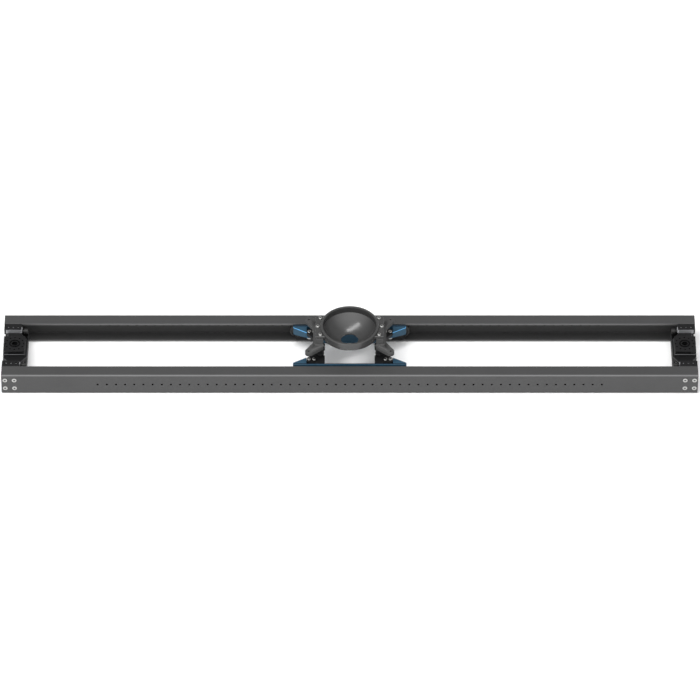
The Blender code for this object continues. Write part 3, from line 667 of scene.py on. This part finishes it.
def rail_bolt_drill(face_y, side):
    depth = RAIL_BOLT_LENGTH + 2 * MM
    profile = [
        (0, 1 * MM),
        (RAIL_BOLT_HEAD_RADIUS + 0.35 * MM, 1 * MM),
        (RAIL_BOLT_HEAD_RADIUS + 0.35 * MM, -1 * MM),
        (RAIL_BOLT_RADIUS + 0.1 * MM, -RAIL_BOLT_HEAD - 0.2 * MM),
        (RAIL_BOLT_RADIUS + 0.1 * MM, -depth),
        (0, -depth),
    ]
    return drill(rail_bolt_places(face_y, side), profile, (0, side, 0), 32)


def make_rail(face, side):
    low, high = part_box(f"{face}_rail")
    half_track = cad_box[1].y
    depth = high.y - low.y
    height = high.z
    outline = [
        (RAIL_CHAMFER, 0),
        (depth, 0),
        (depth, RAIL_WALL),
        (RAIL_WALL, RAIL_WALL),
        (RAIL_WALL, height - RAIL_WALL),
        (depth, height - RAIL_WALL),
        (depth, height),
        (RAIL_CHAMFER, height),
        (0, height - RAIL_CHAMFER),
        (0, RAIL_CHAMFER),
    ]
    section = [(side * (half_track - inset), level) for inset, level in outline]
    rail = prism(section, low.x, high.x, ALONG_X)
    soften(rail, 0.6 * MM)
    # The chamfers get a painted highlight.
    mark_chamfers(rail, RAIL_FINISH_AND_PAINTED_LIGHT)
    first = -(RAIL_HOLE_COUNT - 1) / 2 * RAIL_HOLE_PITCH
    centres = [
        (first + index * RAIL_HOLE_PITCH, side * half_track, height / 2) for index in range(RAIL_HOLE_COUNT)
    ]
    holes = drill(centres, hole_profile(RAIL_HOLE_RADIUS, 2 * RAIL_WALL, 0), (0, side, 0), 20)
    # The holes are lined with painted shade.
    carve(rail, lined(holes, RAIL_FINISH_AND_PAINTED_LIGHT), rail_bolt_drill(half_track, side))
    # Faces inside the channel get painted shade, and the flanges' edges at its open side a painted
    # highlight.
    for polygon in rail.data.polygons:
        inset = half_track - abs(polygon.center.y)
        between = RAIL_WALL * 0.98 < polygon.center.z < height - RAIL_WALL * 0.98
        if RAIL_WALL * 0.98 < inset < depth - 0.9 * MM and between:
            polygon.material_index = 2
        elif inset > depth - 0.9 * MM:
            polygon.material_index = 1
    dress(rail, f"{face}_rail", RAIL_GREY, "rail_grey", "base")


def make_rail_bolts(face, side):
    screw = countersunk_screw()
    recess = 0.15 * MM
    for index, (x, y, z) in enumerate(rail_bolt_places(cad_box[1].y - recess, side)):
        placing = Matrix.Translation((x, y, z)) @ turn_to((0, side, 0))
        dress(moved(screw, placing), f"{face}_rail_bolt_{index + 1}", BOLT_STEEL, "bolt_steel", "base")
    discard(screw)


# ---------------------------------------------------------------- end brackets


def bracket_web(outer):
    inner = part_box("right_end_bracket")[0].x
    rear_half = [
        (inner, CORNER_HALF_WIDTH),
        (EAR_INNER + 3 * MM, TROUGH_HALF_WIDTH + 1 * MM),
        (outer - NOTCH_DEPTH, TROUGH_HALF_WIDTH + 1 * MM),
        (outer - NOTCH_DEPTH, NOTCH_HALF_WIDTHS[1]),
        (outer, NOTCH_HALF_WIDTHS[0]),
    ]
    web = prism(both_halves(rear_half), BRACKET_STEP - 1 * MM, TROUGH_TOP)
    # The web's chamfers get a painted highlight.
    return mark_chamfers(soften(web, 1.8 * MM, 1), BRACKET_FINISH_AND_PAINTED_LIGHT)


def bracket_blocks(outer):
    """The raised stretches of the right-hand bracket, each with its own chamfers."""
    pad_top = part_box("right_end_bracket")[1].z
    rail_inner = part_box("rear_rail")[0].y
    rail_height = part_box("rear_rail")[1].z
    web_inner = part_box("rear_rail")[1].y - RAIL_WALL
    plinth_y = (-PLINTH_HALF_WIDTH, PLINTH_HALF_WIDTH)
    pad_y = (-PAD_HALF_WIDTH, PAD_HALF_WIDTH)
    plinth = block((PLINTH_INNER, outer - 0.5 * MM), plinth_y, (PLINTH_ROOT, PLINTH_TOP))
    # The plinth's chamfers get a painted highlight.
    yield mark_chamfers(soften(plinth, 1.2 * MM, 1), BRACKET_FINISH_AND_PAINTED_LIGHT)
    yield soften(block((PAD_INNER, outer - 1 * MM), pad_y, (PAD_ROOT, pad_top)), 1.5 * MM, 2)
    for side in FACES.values():
        ear_y = sorted((side * TROUGH_HALF_WIDTH, side * (rail_inner - GAP)))
        tenon_y = sorted((side * (rail_inner - 5 * MM), side * (web_inner - GAP)))
        ear_x = (EAR_INNER, outer + 0.5 * MM)
        yield soften(block(ear_x, ear_y, (EAR_BOTTOM, rail_height)), 0.7 * MM)
        tenon_x = (EAR_INNER + 0.5 * MM, outer + 0.2 * MM)
        tenon_z = (RAIL_WALL + GAP, rail_height - RAIL_WALL - GAP)
        yield soften(block(tenon_x, tenon_y, tenon_z), 0.7 * MM)


def bracket_cutters(outer):
    """The hollow underside, strap slot, bore, groove, holes, corner notches and the bumper bars' seats."""
    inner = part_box("right_end_bracket")[0].x
    pad_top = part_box("right_end_bracket")[1].z
    rail_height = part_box("rear_rail")[1].z
    centre = (PAD_CENTRE, 0, pad_top)
    hollow_x = (inner + SHELL_WALL + 1 * MM, outer - NOTCH_DEPTH - SHELL_WALL)
    hollow_y = (-TROUGH_HALF_WIDTH + 4 * MM, TROUGH_HALF_WIDTH - 4 * MM)
    yield soften(block(hollow_x, hollow_y, (0, TROUGH_TOP - SHELL_WALL)), 3 * MM, 3)
    slot_y = (-PAD_HALF_WIDTH - 5 * MM, PAD_HALF_WIDTH + 5 * MM)
    yield soften(block(STRAP_SLOT_X, slot_y, STRAP_SLOT_Z), 1.5 * MM, 3)
    # The bore, the groove and the holes are lined with painted shade.
    bore = drill([centre], hole_profile(PAD_BORE_RADIUS, 2 * pad_top, 0), steps=48)
    yield lined(bore, BRACKET_FINISH_AND_PAINTED_LIGHT)
    groove = [
        (PAD_GROOVE[0], 1 * MM),
        (PAD_GROOVE[1], 1 * MM),
        (PAD_GROOVE[1], -PAD_GROOVE_DEPTH),
        (PAD_GROOVE[0], -PAD_GROOVE_DEPTH),
    ]
    yield lined(turned(groove, centre, steps=64), BRACKET_FINISH_AND_PAINTED_LIGHT)
    ring = [
        (
            PAD_CENTRE + PAD_HOLE_CIRCLE * math.cos(index * math.tau / PAD_HOLE_COUNT),
            PAD_HOLE_CIRCLE * math.sin(index * math.tau / PAD_HOLE_COUNT),
            pad_top,
        )
        for index in range(PAD_HOLE_COUNT)
    ]
    through_pad = pad_top - STRAP_SLOT_Z[1] + 1 * MM
    yield lined(drill(ring, hole_profile(PAD_HOLE_RADIUS, through_pad, 0)), BRACKET_FINISH_AND_PAINTED_LIGHT)
    for side in FACES.values():
        row = [(across, side * EAR_HOLE_Y, rail_height) for across in EAR_HOLES_X]
        # The ear holes are lined with painted shade.
        yield lined(drill(row, hole_profile(*TAPPED_HOLE, 0)), BRACKET_FINISH_AND_PAINTED_LIGHT)
        notch_y = sorted((side * NOTCH_HALF_WIDTHS[1], side * cad_box[1].y))
        yield block((outer - NOTCH_DEPTH, outer + 2 * MM), notch_y, (0, EAR_NOTCH_TOP))
        bar_low, bar_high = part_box(f"right_{'front' if side < 0 else 'rear'}_bumper_bar")
        seat_outer = TROUGH_HALF_WIDTH + BAR_SEAT_WIDTH + GAP
        seat_y = sorted((side * (TROUGH_HALF_WIDTH - 1 * MM), side * seat_outer))
        yield block((EAR_INNER - 1 * MM, bar_high.x + GAP), seat_y, (bar_low.z - GAP, bar_high.z + GAP))
        yield rail_bolt_drill(cad_box[1].y, side)


def make_end_brackets():
    """The end brackets, from the right one. Its base's top shows only outside the web, and carries painted
    shade there.
    """
    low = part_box("right_end_bracket")[0]
    rail_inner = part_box("rear_rail")[0].y
    outer = cad_box[1].x - 1 * MM
    inner = low.x + 1 * MM
    base_y = (2 * MM - rail_inner, rail_inner - 2 * MM)
    bracket = block((inner, outer - NOTCH_DEPTH), base_y, (low.z + 2 * MM, BRACKET_STEP))
    # The base's chamfers get a painted highlight, and its top, beyond the web, painted shade.
    mark_chamfers(soften(bracket, 1.5 * MM, 1), BRACKET_FINISH_AND_PAINTED_LIGHT)
    for polygon in bracket.data.polygons:
        if polygon.center.z > BRACKET_STEP - 0.1 * MM:
            polygon.material_index = len(BRACKET_FINISH_AND_PAINTED_LIGHT) - 1
    unite(bracket, bracket_web(outer), *bracket_blocks(outer))
    carve(bracket, *bracket_cutters(outer))
    for end, side in ENDS.items():
        dress(mirror(bracket, side, 1), f"{end}_end_bracket", BRACKET_BLACK, "bracket_black", "base")
    discard(bracket)


def make_bumpers():
    """The bars of bare metal and the rubber bumpers on them, from the right rear one."""
    low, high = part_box("right_rear_bumper_bar")
    facet = 4 * MM
    outline = [
        (high.x, low.y),
        (high.x, high.y),
        (low.x, high.y),
        (low.x, low.y + facet),
        (low.x + facet, low.y),
    ]
    bar = soften(prism(outline, low.z, high.z), 0.5 * MM, 2)
    low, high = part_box("right_rear_bumper")
    radius = (high.z - low.z) / 2
    middle = (high + low) / 2
    length = high.x - low.x
    neck = 4 * MM
    profile = [
        (0, length),
        (radius - 3.2 * MM, length),
        *arc((radius - 2 * MM, length - 2 * MM), 2 * MM, 70, 0, 4),
        (radius, neck + 1.5 * MM),
        (radius - 0.6 * MM, neck + 0.4 * MM),
        (radius - 1.2 * MM, neck),
        (4 * MM, neck),
        (4 * MM, 0),
        (0, 0),
    ]
    bumper = turned(profile, (high.x, middle.y, middle.z), (-1, 0, 0), 40)
    for end, x_side in ENDS.items():
        for face, y_side in FACES.items():
            place = f"{end}_{face}"
            dress(mirror(bar, x_side, y_side), f"{place}_bumper_bar", BARE_METAL, "bare_metal", "base")
            dress(mirror(bumper, x_side, y_side), f"{place}_bumper", RUBBER, "rubber", "base")
    discard(bar, bumper)


# ---------------------------------------------------------------- carriage


def make_side_plates():
    """The blue side plates, from the rear one: a shallow step along the top lined with painted shade, and a
    wing at each end whose chamfers carry a painted highlight.
    """
    low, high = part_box("rear_side_plate")
    plate_inner = high.y - 5.5 * MM
    tip = high.x
    right_half = [
        (SIDE_MIDDLE_HALF, low.z),
        (SIDE_MIDDLE_HALF + SIDE_SLOPE, SIDE_END_BOTTOM),
        (tip, SIDE_END_BOTTOM + 1 * MM),
        (tip, high.z),
    ]
    outline = right_half + [(-along, level) for along, level in reversed(right_half)]
    plate = prism(outline, plate_inner, high.y, ALONG_Y)
    add_slot_materials(soften(plate, 0.6 * MM), PLATE_FINISH_AND_PAINTED_LIGHT)
    # A shallow groove along the top, lined with painted shade.
    groove_y = (plate_inner - 1 * MM, high.y - SIDE_LIP)
    groove = block((-tip - 1 * MM, tip + 1 * MM), groove_y, (high.z - SIDE_GROOVE_DEPTH, high.z + 1 * MM))
    carve(plate, lined(groove, PLATE_FINISH_AND_PAINTED_LIGHT))
    cross_low, cross_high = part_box("right_cross_member")
    for side in ENDS.values():
        wing_plan = [
            (side * (tip - 0.3 * MM), plate_inner + 2 * MM),
            (side * WING_INNER, plate_inner + 2 * MM),
            (side * WING_INNER, WING_KNEE[1]),
            (side * WING_KNEE[0], WING_KNEE[1]),
            (side * (tip - 0.3 * MM), WING_CORNER_Y),
        ]
        wing = prism(wing_plan, WING_TIP_BOTTOM - 2 * MM, WING_TOP)
        relief = [
            (side * (WING_INNER - 5 * MM), 0),
            (side * (WING_INNER - 5 * MM), WING_BOTTOM),
            (side * (WING_KNEE[0] + 1 * MM), WING_BOTTOM),
            (side * (tip + 1 * MM), WING_TIP_BOTTOM),
            (side * (tip + 1 * MM), 0),
        ]
        carve(wing, prism(relief, 0, 2 * high.y, ALONG_Y))
        soften(wing, WING_CHAMFER, 1)
        # The wing's chamfers get a painted highlight.
        mark_chamfers(wing, PLATE_FINISH_AND_PAINTED_LIGHT)
        unite(plate, wing)
        recess_x = sorted((side * (cross_low.x - 1 * MM), side * (cross_high.x + GAP)))
        recess_y = (CROSS_PAD_Y[0] - 30 * MM, plate_inner - 0.1 * MM)
        recess = block(recess_x, recess_y, (cross_low.z - GAP, high.z + 1 * MM))
        bolts = [(side * across, CLAMP_BOLT_Y, cross_low.z) for across in CLAMP_BOLTS_X]
        carve(plate, recess, drill(bolts, hole_profile(BOLT_RADIUS + GAP, THROUGH, 0)))
    for face, side in FACES.items():
        dress(mirror(plate, 1, side), f"{face}_side_plate", PLATE_BLUE, "plate_blue", "carriage")
    discard(plate)


def make_cross_members():
    low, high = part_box("right_cross_member")
    pad_low, pad_high = CROSS_PAD_Y
    scallop_low, scallop_high = CROSS_SCALLOP_Y
    outer = high.x - CROSS_CORNER
    rear_half = [
        (low.x, scallop_low),
        (low.x + CROSS_SCALLOP, scallop_low + CROSS_SCALLOP),
        (low.x + CROSS_SCALLOP, scallop_high - CROSS_SCALLOP),
        (low.x, scallop_high),
        (low.x, high.y),
        (WING_INNER - 2 * MM, high.y),
        (WING_INNER + 3 * MM, pad_high),
        *arc((outer, pad_high - CROSS_CORNER), CROSS_CORNER, 90, 0, 8),
        *arc((outer, pad_low + CROSS_CORNER), CROSS_CORNER, 0, -60, 6),
        (CROSS_WAIST, CROSS_WAIST_HALF_WIDTH),
    ]
    member = soften(prism(both_halves(rear_half), low.z, high.z), 0.9 * MM, 2)
    bolts = [(across, side * CLAMP_BOLT_Y, high.z) for across in CLAMP_BOLTS_X for side in FACES.values()]
    carve(member, drill(bolts, hole_profile(BOLT_RADIUS + GAP, THROUGH, 0.3 * MM)))
    for end, side in ENDS.items():
        dress(mirror(member, side, 1), f"{end}_cross_member", BRACKET_BLACK, "bracket_black", "carriage")
    discard(member)


def make_clamp_bolts():
    low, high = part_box("right_rear_inner_clamp_bolt")
    head_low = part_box("right_cross_member")[1].z + GAP
    screw = cap_screw(high.z - head_low, head_low - low.z)
    screw.data.transform(Matrix.Translation((0, 0, head_low)))
    nut = hexagon_nut(CLAMP_NUT_RADIUS, CLAMP_NUT)
    nut.data.materials.append(BOLT_STEEL)
    nut.data.transform(Matrix.Translation((0, 0, low.z)))
    for end, x_side in ENDS.items():
        for face, y_side in FACES.items():
            for place, across in zip(("inner", "outer"), CLAMP_BOLTS_X):
                there = Matrix.Translation((x_side * across, y_side * CLAMP_BOLT_Y, 0))
                both = gather(moved(screw, there), moved(nut, there))
                # The second slot is the painted shade in the sockets.
                both.data.materials.append(BOLT_STEEL)
                both.data.materials.append(SOCKET_PAINTED_SHADE)
                dress(both, f"{end}_{face}_{place}_clamp_bolt", BOLT_STEEL, "bolt_steel", "carriage")
    discard(screw, nut)


def arm_bolt_centres():
    """Where the three bolts of the right-hand arm stand, from front to rear."""
    return [
        (ARM_BOLT_CIRCLE * math.cos(angle), ARM_BOLT_CIRCLE * math.sin(angle))
        for angle in (-ARM_BOLT_ANGLE, 0, ARM_BOLT_ANGLE)
    ]


def make_arms():
    low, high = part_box("right_arm")
    ear_x, ear_y = EAR_CENTRE
    rear_half = [
        (low.x, ARM_ROOT_HALF_WIDTH),
        (ear_x - 8 * MM, ear_y + EAR_RADIUS - 1.5 * MM),
        *arc(EAR_CENTRE, EAR_RADIUS, 100, -35, 14),
        (ARM_WAIST, ARM_WAIST_HALF_WIDTH),
    ]
    arm = soften(prism(both_halves(rear_half), low.z, ARM_TOP), 1.2 * MM, 3)
    half = PEDESTAL_HALF_WIDTH
    flare = PEDESTAL_FLARE
    root = ARM_TOP - 6 * MM
    pedestal = soften(block((PEDESTAL_INNER, PEDESTAL_OUTER), (-half, half), (root, high.z)), 2 * MM, 3)
    foot_plan = [
        (PEDESTAL_INNER, -half - flare),
        (PEDESTAL_OUTER, -half - flare),
        (PEDESTAL_OUTER + flare, -half),
        (PEDESTAL_OUTER + flare, half),
        (PEDESTAL_OUTER, half + flare),
        (PEDESTAL_INNER, half + flare),
    ]
    foot = soften(prism(foot_plan, root, ARM_TOP + flare), flare * 0.95, 3)
    room = round_room(BOWL_CLEARANCE, 60 * MM, 140 * MM, 96)
    unite(pedestal, foot)
    carve(pedestal, room)
    unite(arm, pedestal)
    ears = [(ear_x, side * ear_y, ARM_TOP) for side in FACES.values()]
    bolts = [(x, y, high.z) for x, y in arm_bolt_centres()]
    carve(
        arm,
        drill(ears, hole_profile(EAR_HOLE_RADIUS, THROUGH, 0.5 * MM)),
        drill(bolts, hole_profile(BOLT_RADIUS + GAP, THROUGH, 0)),
    )
    for end, side in ENDS.items():
        dress(mirror(arm, side, 1), f"{end}_arm", ARM_GREY, "rail_grey", "carriage")
    discard(arm)


def make_arm_bolts():
    low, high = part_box("right_middle_arm_bolt")
    seat = LUG_TOP + GAP
    screw = cap_screw(high.z - seat, seat - low.z)
    for end, side in ENDS.items():
        for place, (x, y) in zip(("front", "middle", "rear"), arm_bolt_centres()):
            there = Matrix.Translation((side * x, y, seat))
            node = f"{end}_{place}_arm_bolt"
            dress(moved(screw, there), node, BOLT_STEEL, "bolt_steel", "carriage")
    discard(screw)


def make_posts():
    """The round posts, with a relieved waist and chamfered ends."""
    low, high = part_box("right_rear_post")
    radius = (high.x - low.x) / 2
    x, y = arm_bolt_centres()[2]
    profile = [
        (0, high.z),
        (radius - 0.8 * MM, high.z),
        (radius, high.z - 0.8 * MM),
        (radius, high.z - 4 * MM),
        (radius - 0.7 * MM, high.z - 4.7 * MM),
        (radius - 0.7 * MM, low.z + 4.7 * MM),
        (radius, low.z + 4 * MM),
        (radius, low.z + 0.8 * MM),
        (radius - 0.8 * MM, low.z),
        (0, low.z),
    ]
    post = turned(profile, (x, y, 0), steps=48)
    for end, x_side in ENDS.items():
        for face, y_side in FACES.items():
            node = f"{end}_{face}_post"
            dress(mirror(post, x_side, y_side), node, BRACKET_BLACK, "bracket_black", "carriage")
    discard(post)


# ---------------------------------------------------------------- bowl


def seat_sphere(seat_top):
    """The centre height and radius of the sphere through the top and bottom circles of the seat."""
    rise = SEAT_RADIUS**2 - BOWL_HOLE_RADIUS**2 + seat_top**2 - SEAT_BOTTOM**2
    centre_z = rise / (2 * (seat_top - SEAT_BOTTOM))
    return centre_z, math.hypot(SEAT_RADIUS, seat_top - centre_z)


def sphere_arc(centre_z, radius, start, end, count):
    """Profile points on the lower half of a sphere, between two distances from the axis."""
    start_angle, end_angle = (math.asin(distance / radius) for distance in (start, end))
    angles = [start_angle + (end_angle - start_angle) * step / count for step in range(count + 1)]
    return [(radius * math.sin(a), centre_z - radius * math.cos(a)) for a in angles]


def bowl_profile():
    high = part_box("bowl")[1]
    rim_top = high.z
    outer = high.y
    collar_bottom = rim_top - COLLAR_HEIGHT
    seat_top = rim_top - MOUTH_DEPTH
    centre_z, seat_radius = seat_sphere(seat_top)
    shell_radius = seat_radius + BOWL_WALL
    shell_top = math.sqrt(shell_radius**2 - (centre_z - collar_bottom) ** 2)
    edge = 0.8 * MM
    groove = 1.3 * MM
    hole = BOWL_HOLE_RADIUS
    return [
        (outer - edge, rim_top),
        (outer, rim_top - edge),
        (outer, collar_bottom + edge),
        (outer - edge, collar_bottom),
        *sphere_arc(centre_z, shell_radius, shell_top, hole + edge, 18),
        *sphere_arc(centre_z, seat_radius, hole, SEAT_RADIUS - 0.3 * MM, 28),
        (MOUTH_RADIUS + groove, seat_top - groove / 2),
        (MOUTH_RADIUS + groove, seat_top + groove / 2),
        (MOUTH_RADIUS, seat_top + groove / 2),
        (MOUTH_RADIUS, rim_top - edge / 2),
        (MOUTH_RADIUS + edge / 2, rim_top),
    ]


def make_bowl():
    bowl = turned(bowl_profile(), steps=BOWL_STEPS)
    inner = (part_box("bowl")[1].y + MOUTH_RADIUS) / 2
    for side in ENDS.values():
        lug_x = sorted((side * PEDESTAL_INNER, side * PEDESTAL_OUTER))
        lug_y = (-PEDESTAL_HALF_WIDTH, PEDESTAL_HALF_WIDTH)
        lug = soften(block(lug_x, lug_y, (LUG_TOP - LUG_THICKNESS, LUG_TOP)), 1.2 * MM, 3)
        carve(lug, round_room(inner, LUG_TOP - 30 * MM, LUG_TOP + 9 * MM, BOWL_STEPS))
        unite(bowl, lug)
        holes = [(side * x, y, LUG_TOP) for x, y in arm_bolt_centres()]
        carve(bowl, drill(holes, hole_profile(BOLT_RADIUS + GAP, 2 * LUG_THICKNESS, 0.3 * MM)))
    dress(bowl, "bowl", BOWL_GREY, "bowl_grey", "carriage")


# ---------------------------------------------------------------- running gear


def make_wheel():
    """The right rear running wheel: a crowned tread, dished sides and a bore for its bearing."""
    low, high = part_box("right_rear_wheel")
    radius = (high.z - low.z) / 2
    half = (high.y - low.y) / 2
    bore = BEARING_SEAT_RADIUS
    side_profile = [
        (radius - 4 * MM, half),
        (radius - 1.2 * MM, half - 0.6 * MM),
        (radius, half - 2.4 * MM),
    ]
    hub_profile = [
        (bore, half - 0.4 * MM),
        (bore + 0.4 * MM, half),
        (bore + 3 * MM, half),
        (bore + 3.8 * MM, half - 2.5 * MM),
        (radius - 5.6 * MM, half - 2.5 * MM),
    ]
    rear = hub_profile + side_profile
    profile = rear + [(distance, -level) for distance, level in reversed(rear)]
    return turned(profile, (high + low) / 2, (0, 1, 0), 72)


def make_bearing():
    low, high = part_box("right_rear_wheel_bearing")
    outer = (high.z - low.z) / 2
    half = (high.y - low.y) / 2
    bore = 4.3 * MM
    face = [
        (bore, half - 0.3 * MM),
        (bore + 0.3 * MM, half),
        (bore + 1.8 * MM, half),
        (bore + 1.9 * MM, half - 0.5 * MM),
        (outer - 1.7 * MM, half - 0.5 * MM),
        (outer - 1.6 * MM, half),
        (outer - 0.3 * MM, half),
        (outer, half - 0.3 * MM),
    ]
    profile = face + [(distance, -level) for distance, level in reversed(face)]
    return turned(profile, (high + low) / 2, (0, 1, 0), 48)


def make_axle():
    """The wheel's shoulder screw, through the truck, with a collar to each side of the bearing."""
    low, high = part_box("right_rear_wheel_axle")
    bearing_low, bearing_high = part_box("right_rear_wheel_bearing")
    truck_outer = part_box("rear_rail")[0].y - 0.4 * MM
    truck_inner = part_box("rear_side_plate")[1].y
    collar = (high.z - low.z) / 2
    shaft = 4 * MM
    edge = 0.5 * MM
    profile = [
        (0, high.y),
        (collar - edge, high.y),
        (collar, high.y - edge),
        (collar, bearing_high.y + GAP),
        (shaft, bearing_high.y + GAP),
        (shaft, bearing_low.y - GAP),
        (collar, bearing_low.y - GAP),
        (collar, truck_outer + GAP),
        (shaft, truck_outer + GAP),
        (shaft, truck_inner),
        (collar, truck_inner),
        (collar, low.y + edge),
        (collar - edge, low.y),
        (0, low.y),
    ]
    centre = (low + high) / 2
    return turned(profile, (centre.x, 0, centre.z), (0, 1, 0), 48)


def make_roller():
    low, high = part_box("right_rear_guide_roller")
    radius = (high.x - low.x) / 2
    half = (high.z - low.z) / 2
    bore = 3.3 * MM
    top = [
        (bore, half - 0.3 * MM),
        (bore + 0.3 * MM, half),
        (bore + 2.2 * MM, half),
        (bore + 2.4 * MM, half - 0.6 * MM),
        (radius - 1.8 * MM, half - 0.6 * MM),
        (radius - 1.6 * MM, half),
        (radius - 0.8 * MM, half),
        (radius, half - 0.8 * MM),
    ]
    profile = top + [(distance, -level) for distance, level in reversed(top)]
    return turned(profile, (high + low) / 2, (0, 0, 1), 48)


def make_truck():
    """The right rear truck: its plate, the roller's arm and pin, and the hole for the axle."""
    low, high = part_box("right_rear_truck")
    roller_low, roller_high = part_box("right_rear_guide_roller")
    axle_low, axle_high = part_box("right_rear_wheel_axle")
    centre = (roller_low + roller_high) / 2
    axle = (axle_low + axle_high) / 2
    plate_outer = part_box("rear_rail")[0].y - 0.4 * MM
    truck = soften(block((low.x, high.x), (low.y, plate_outer), (low.z, high.z)), 1 * MM, 2)
    arm_x = (centre.x - 9 * MM, centre.x + 9 * MM)
    arm = soften(block(arm_x, (plate_outer - 1.5 * MM, high.y), ROLLER_ARM_Z), 1 * MM, 2)
    cap_top = roller_low.z - GAP
    pin_bottom = ROLLER_ARM_Z[1] - 2 * MM
    pin = [
        (0, pin_bottom),
        (3 * MM, pin_bottom),
        (3 * MM, cap_top),
        (5 * MM, cap_top),
        (5 * MM, cap_top - 3 * MM),
        (4.5 * MM, cap_top - 3.5 * MM),
        (0, cap_top - 3.5 * MM),
    ]
    unite(truck, arm, turned(pin, (centre.x, centre.y, 0)))
    mouth = (axle.x, plate_outer, axle.z)
    return carve(truck, drill([mouth], hole_profile(AXLE_HOLE_RADIUS, THROUGH, 0), (0, 1, 0)))


def make_running_gear():
    makers = {
        "wheel": (make_wheel, WHEEL_NYLON, "wheel_nylon", "wheel_set"),
        "wheel_bearing": (make_bearing, BOLT_STEEL, "bolt_steel", "wheel_set"),
        "wheel_axle": (make_axle, AXLE_BLACK, "bolt_steel", "carriage"),
        "guide_roller": (make_roller, WHEEL_NYLON, "wheel_nylon", "roller_set"),
        "truck": (make_truck, BRACKET_BLACK, "bracket_black", "carriage"),
    }
    for piece, (maker, material, slot, body) in makers.items():
        source = maker()
        for end, x_side in ENDS.items():
            for face, y_side in FACES.items():
                place = f"{end}_{face}"
                rides_on = body if body == "carriage" else f"{place}_{body}"
                dress(mirror(source, x_side, y_side), f"{place}_{piece}", material, slot, rides_on)
        discard(source)


# ---------------------------------------------------------------- studio


def make_camera():
    data = bpy.data.cameras.new("camera")
    data.sensor_width = 36
    data.lens = CAMERA_LENS
    data.clip_end = 100
    camera = bpy.data.objects.new("camera", data)
    bpy.context.scene.collection.objects.link(camera)
    look = Vector((0, math.cos(CAMERA_ELEVATION), -math.sin(CAMERA_ELEVATION)))
    camera.location = CAMERA_AIM - look * CAMERA_DISTANCE
    camera.rotation_euler = look.to_track_quat("-Z", "Y").to_euler()
    bpy.context.scene.camera = camera


def make_strip_light():
    """A long softbox overhead, turned so that its reflection crosses the bowl's seat at a slant."""
    data = bpy.data.lights.new("key", "AREA")
    data.shape = "RECTANGLE"
    data.size, data.size_y = STRIP_SIZE
    data.energy = STRIP_POWER
    light = bpy.data.objects.new("key", data)
    bpy.context.scene.collection.objects.link(light)
    away = Vector(STRIP_TOWARDS).normalized()
    along = Vector(STRIP_ALONG)
    along = (along - along.dot(away) * away).normalized()
    turn = Matrix((along, away.cross(along), away)).transposed().to_4x4()
    light.matrix_world = Matrix.Translation(away * STRIP_DISTANCE) @ turn


def make_surroundings():
    """A pale room that is brightest above and before the slider, like a very large softbox there."""
    world = bpy.data.worlds.new("studio")
    world.use_nodes = True
    tree = world.node_tree
    direction = add_node(tree, "TexCoord").outputs["Generated"]
    inputs = {0: direction, 1: Vector(ROOM_BRIGHT_SIDE).normalized()}
    towards_box = add_node(tree, "VectorMath", inputs, operation="DOT_PRODUCT").outputs["Value"]
    background = tree.nodes["Background"]
    background.inputs["Color"].default_value = (1, 1, 1, 1)
    strength = remap(tree, towards_box, 0.2, 1.0, *ROOM_STRENGTH)
    tree.links.new(strength, background.inputs["Strength"])
    bpy.context.scene.world = world


def make_studio():
    floor_span = (-FLOOR_HALF_SIZE, FLOOR_HALF_SIZE)
    floor = block(floor_span, floor_span, (-0.05, -0.2 * MM))
    floor.name = "floor"
    material = bpy.data.materials.new("floor_white")
    material.use_nodes = True
    shader = material.node_tree.nodes["Principled BSDF"]
    shader.inputs["Base Color"].default_value = (0.92, 0.92, 0.92, 1)
    shader.inputs["Roughness"].default_value = 0.9
    floor.data.materials.append(material)
    make_strip_light()
    make_surroundings()
    bpy.context.scene.view_settings.view_transform = "Standard"


make_camera()
make_studio()
for face_name, face_side in FACES.items():
    make_rail(face_name, face_side)
    make_rail_bolts(face_name, face_side)
make_end_brackets()
make_bumpers()
make_side_plates()
make_cross_members()
make_clamp_bolts()
make_arms()
make_arm_bolts()
make_posts()
make_bowl()
make_running_gear()
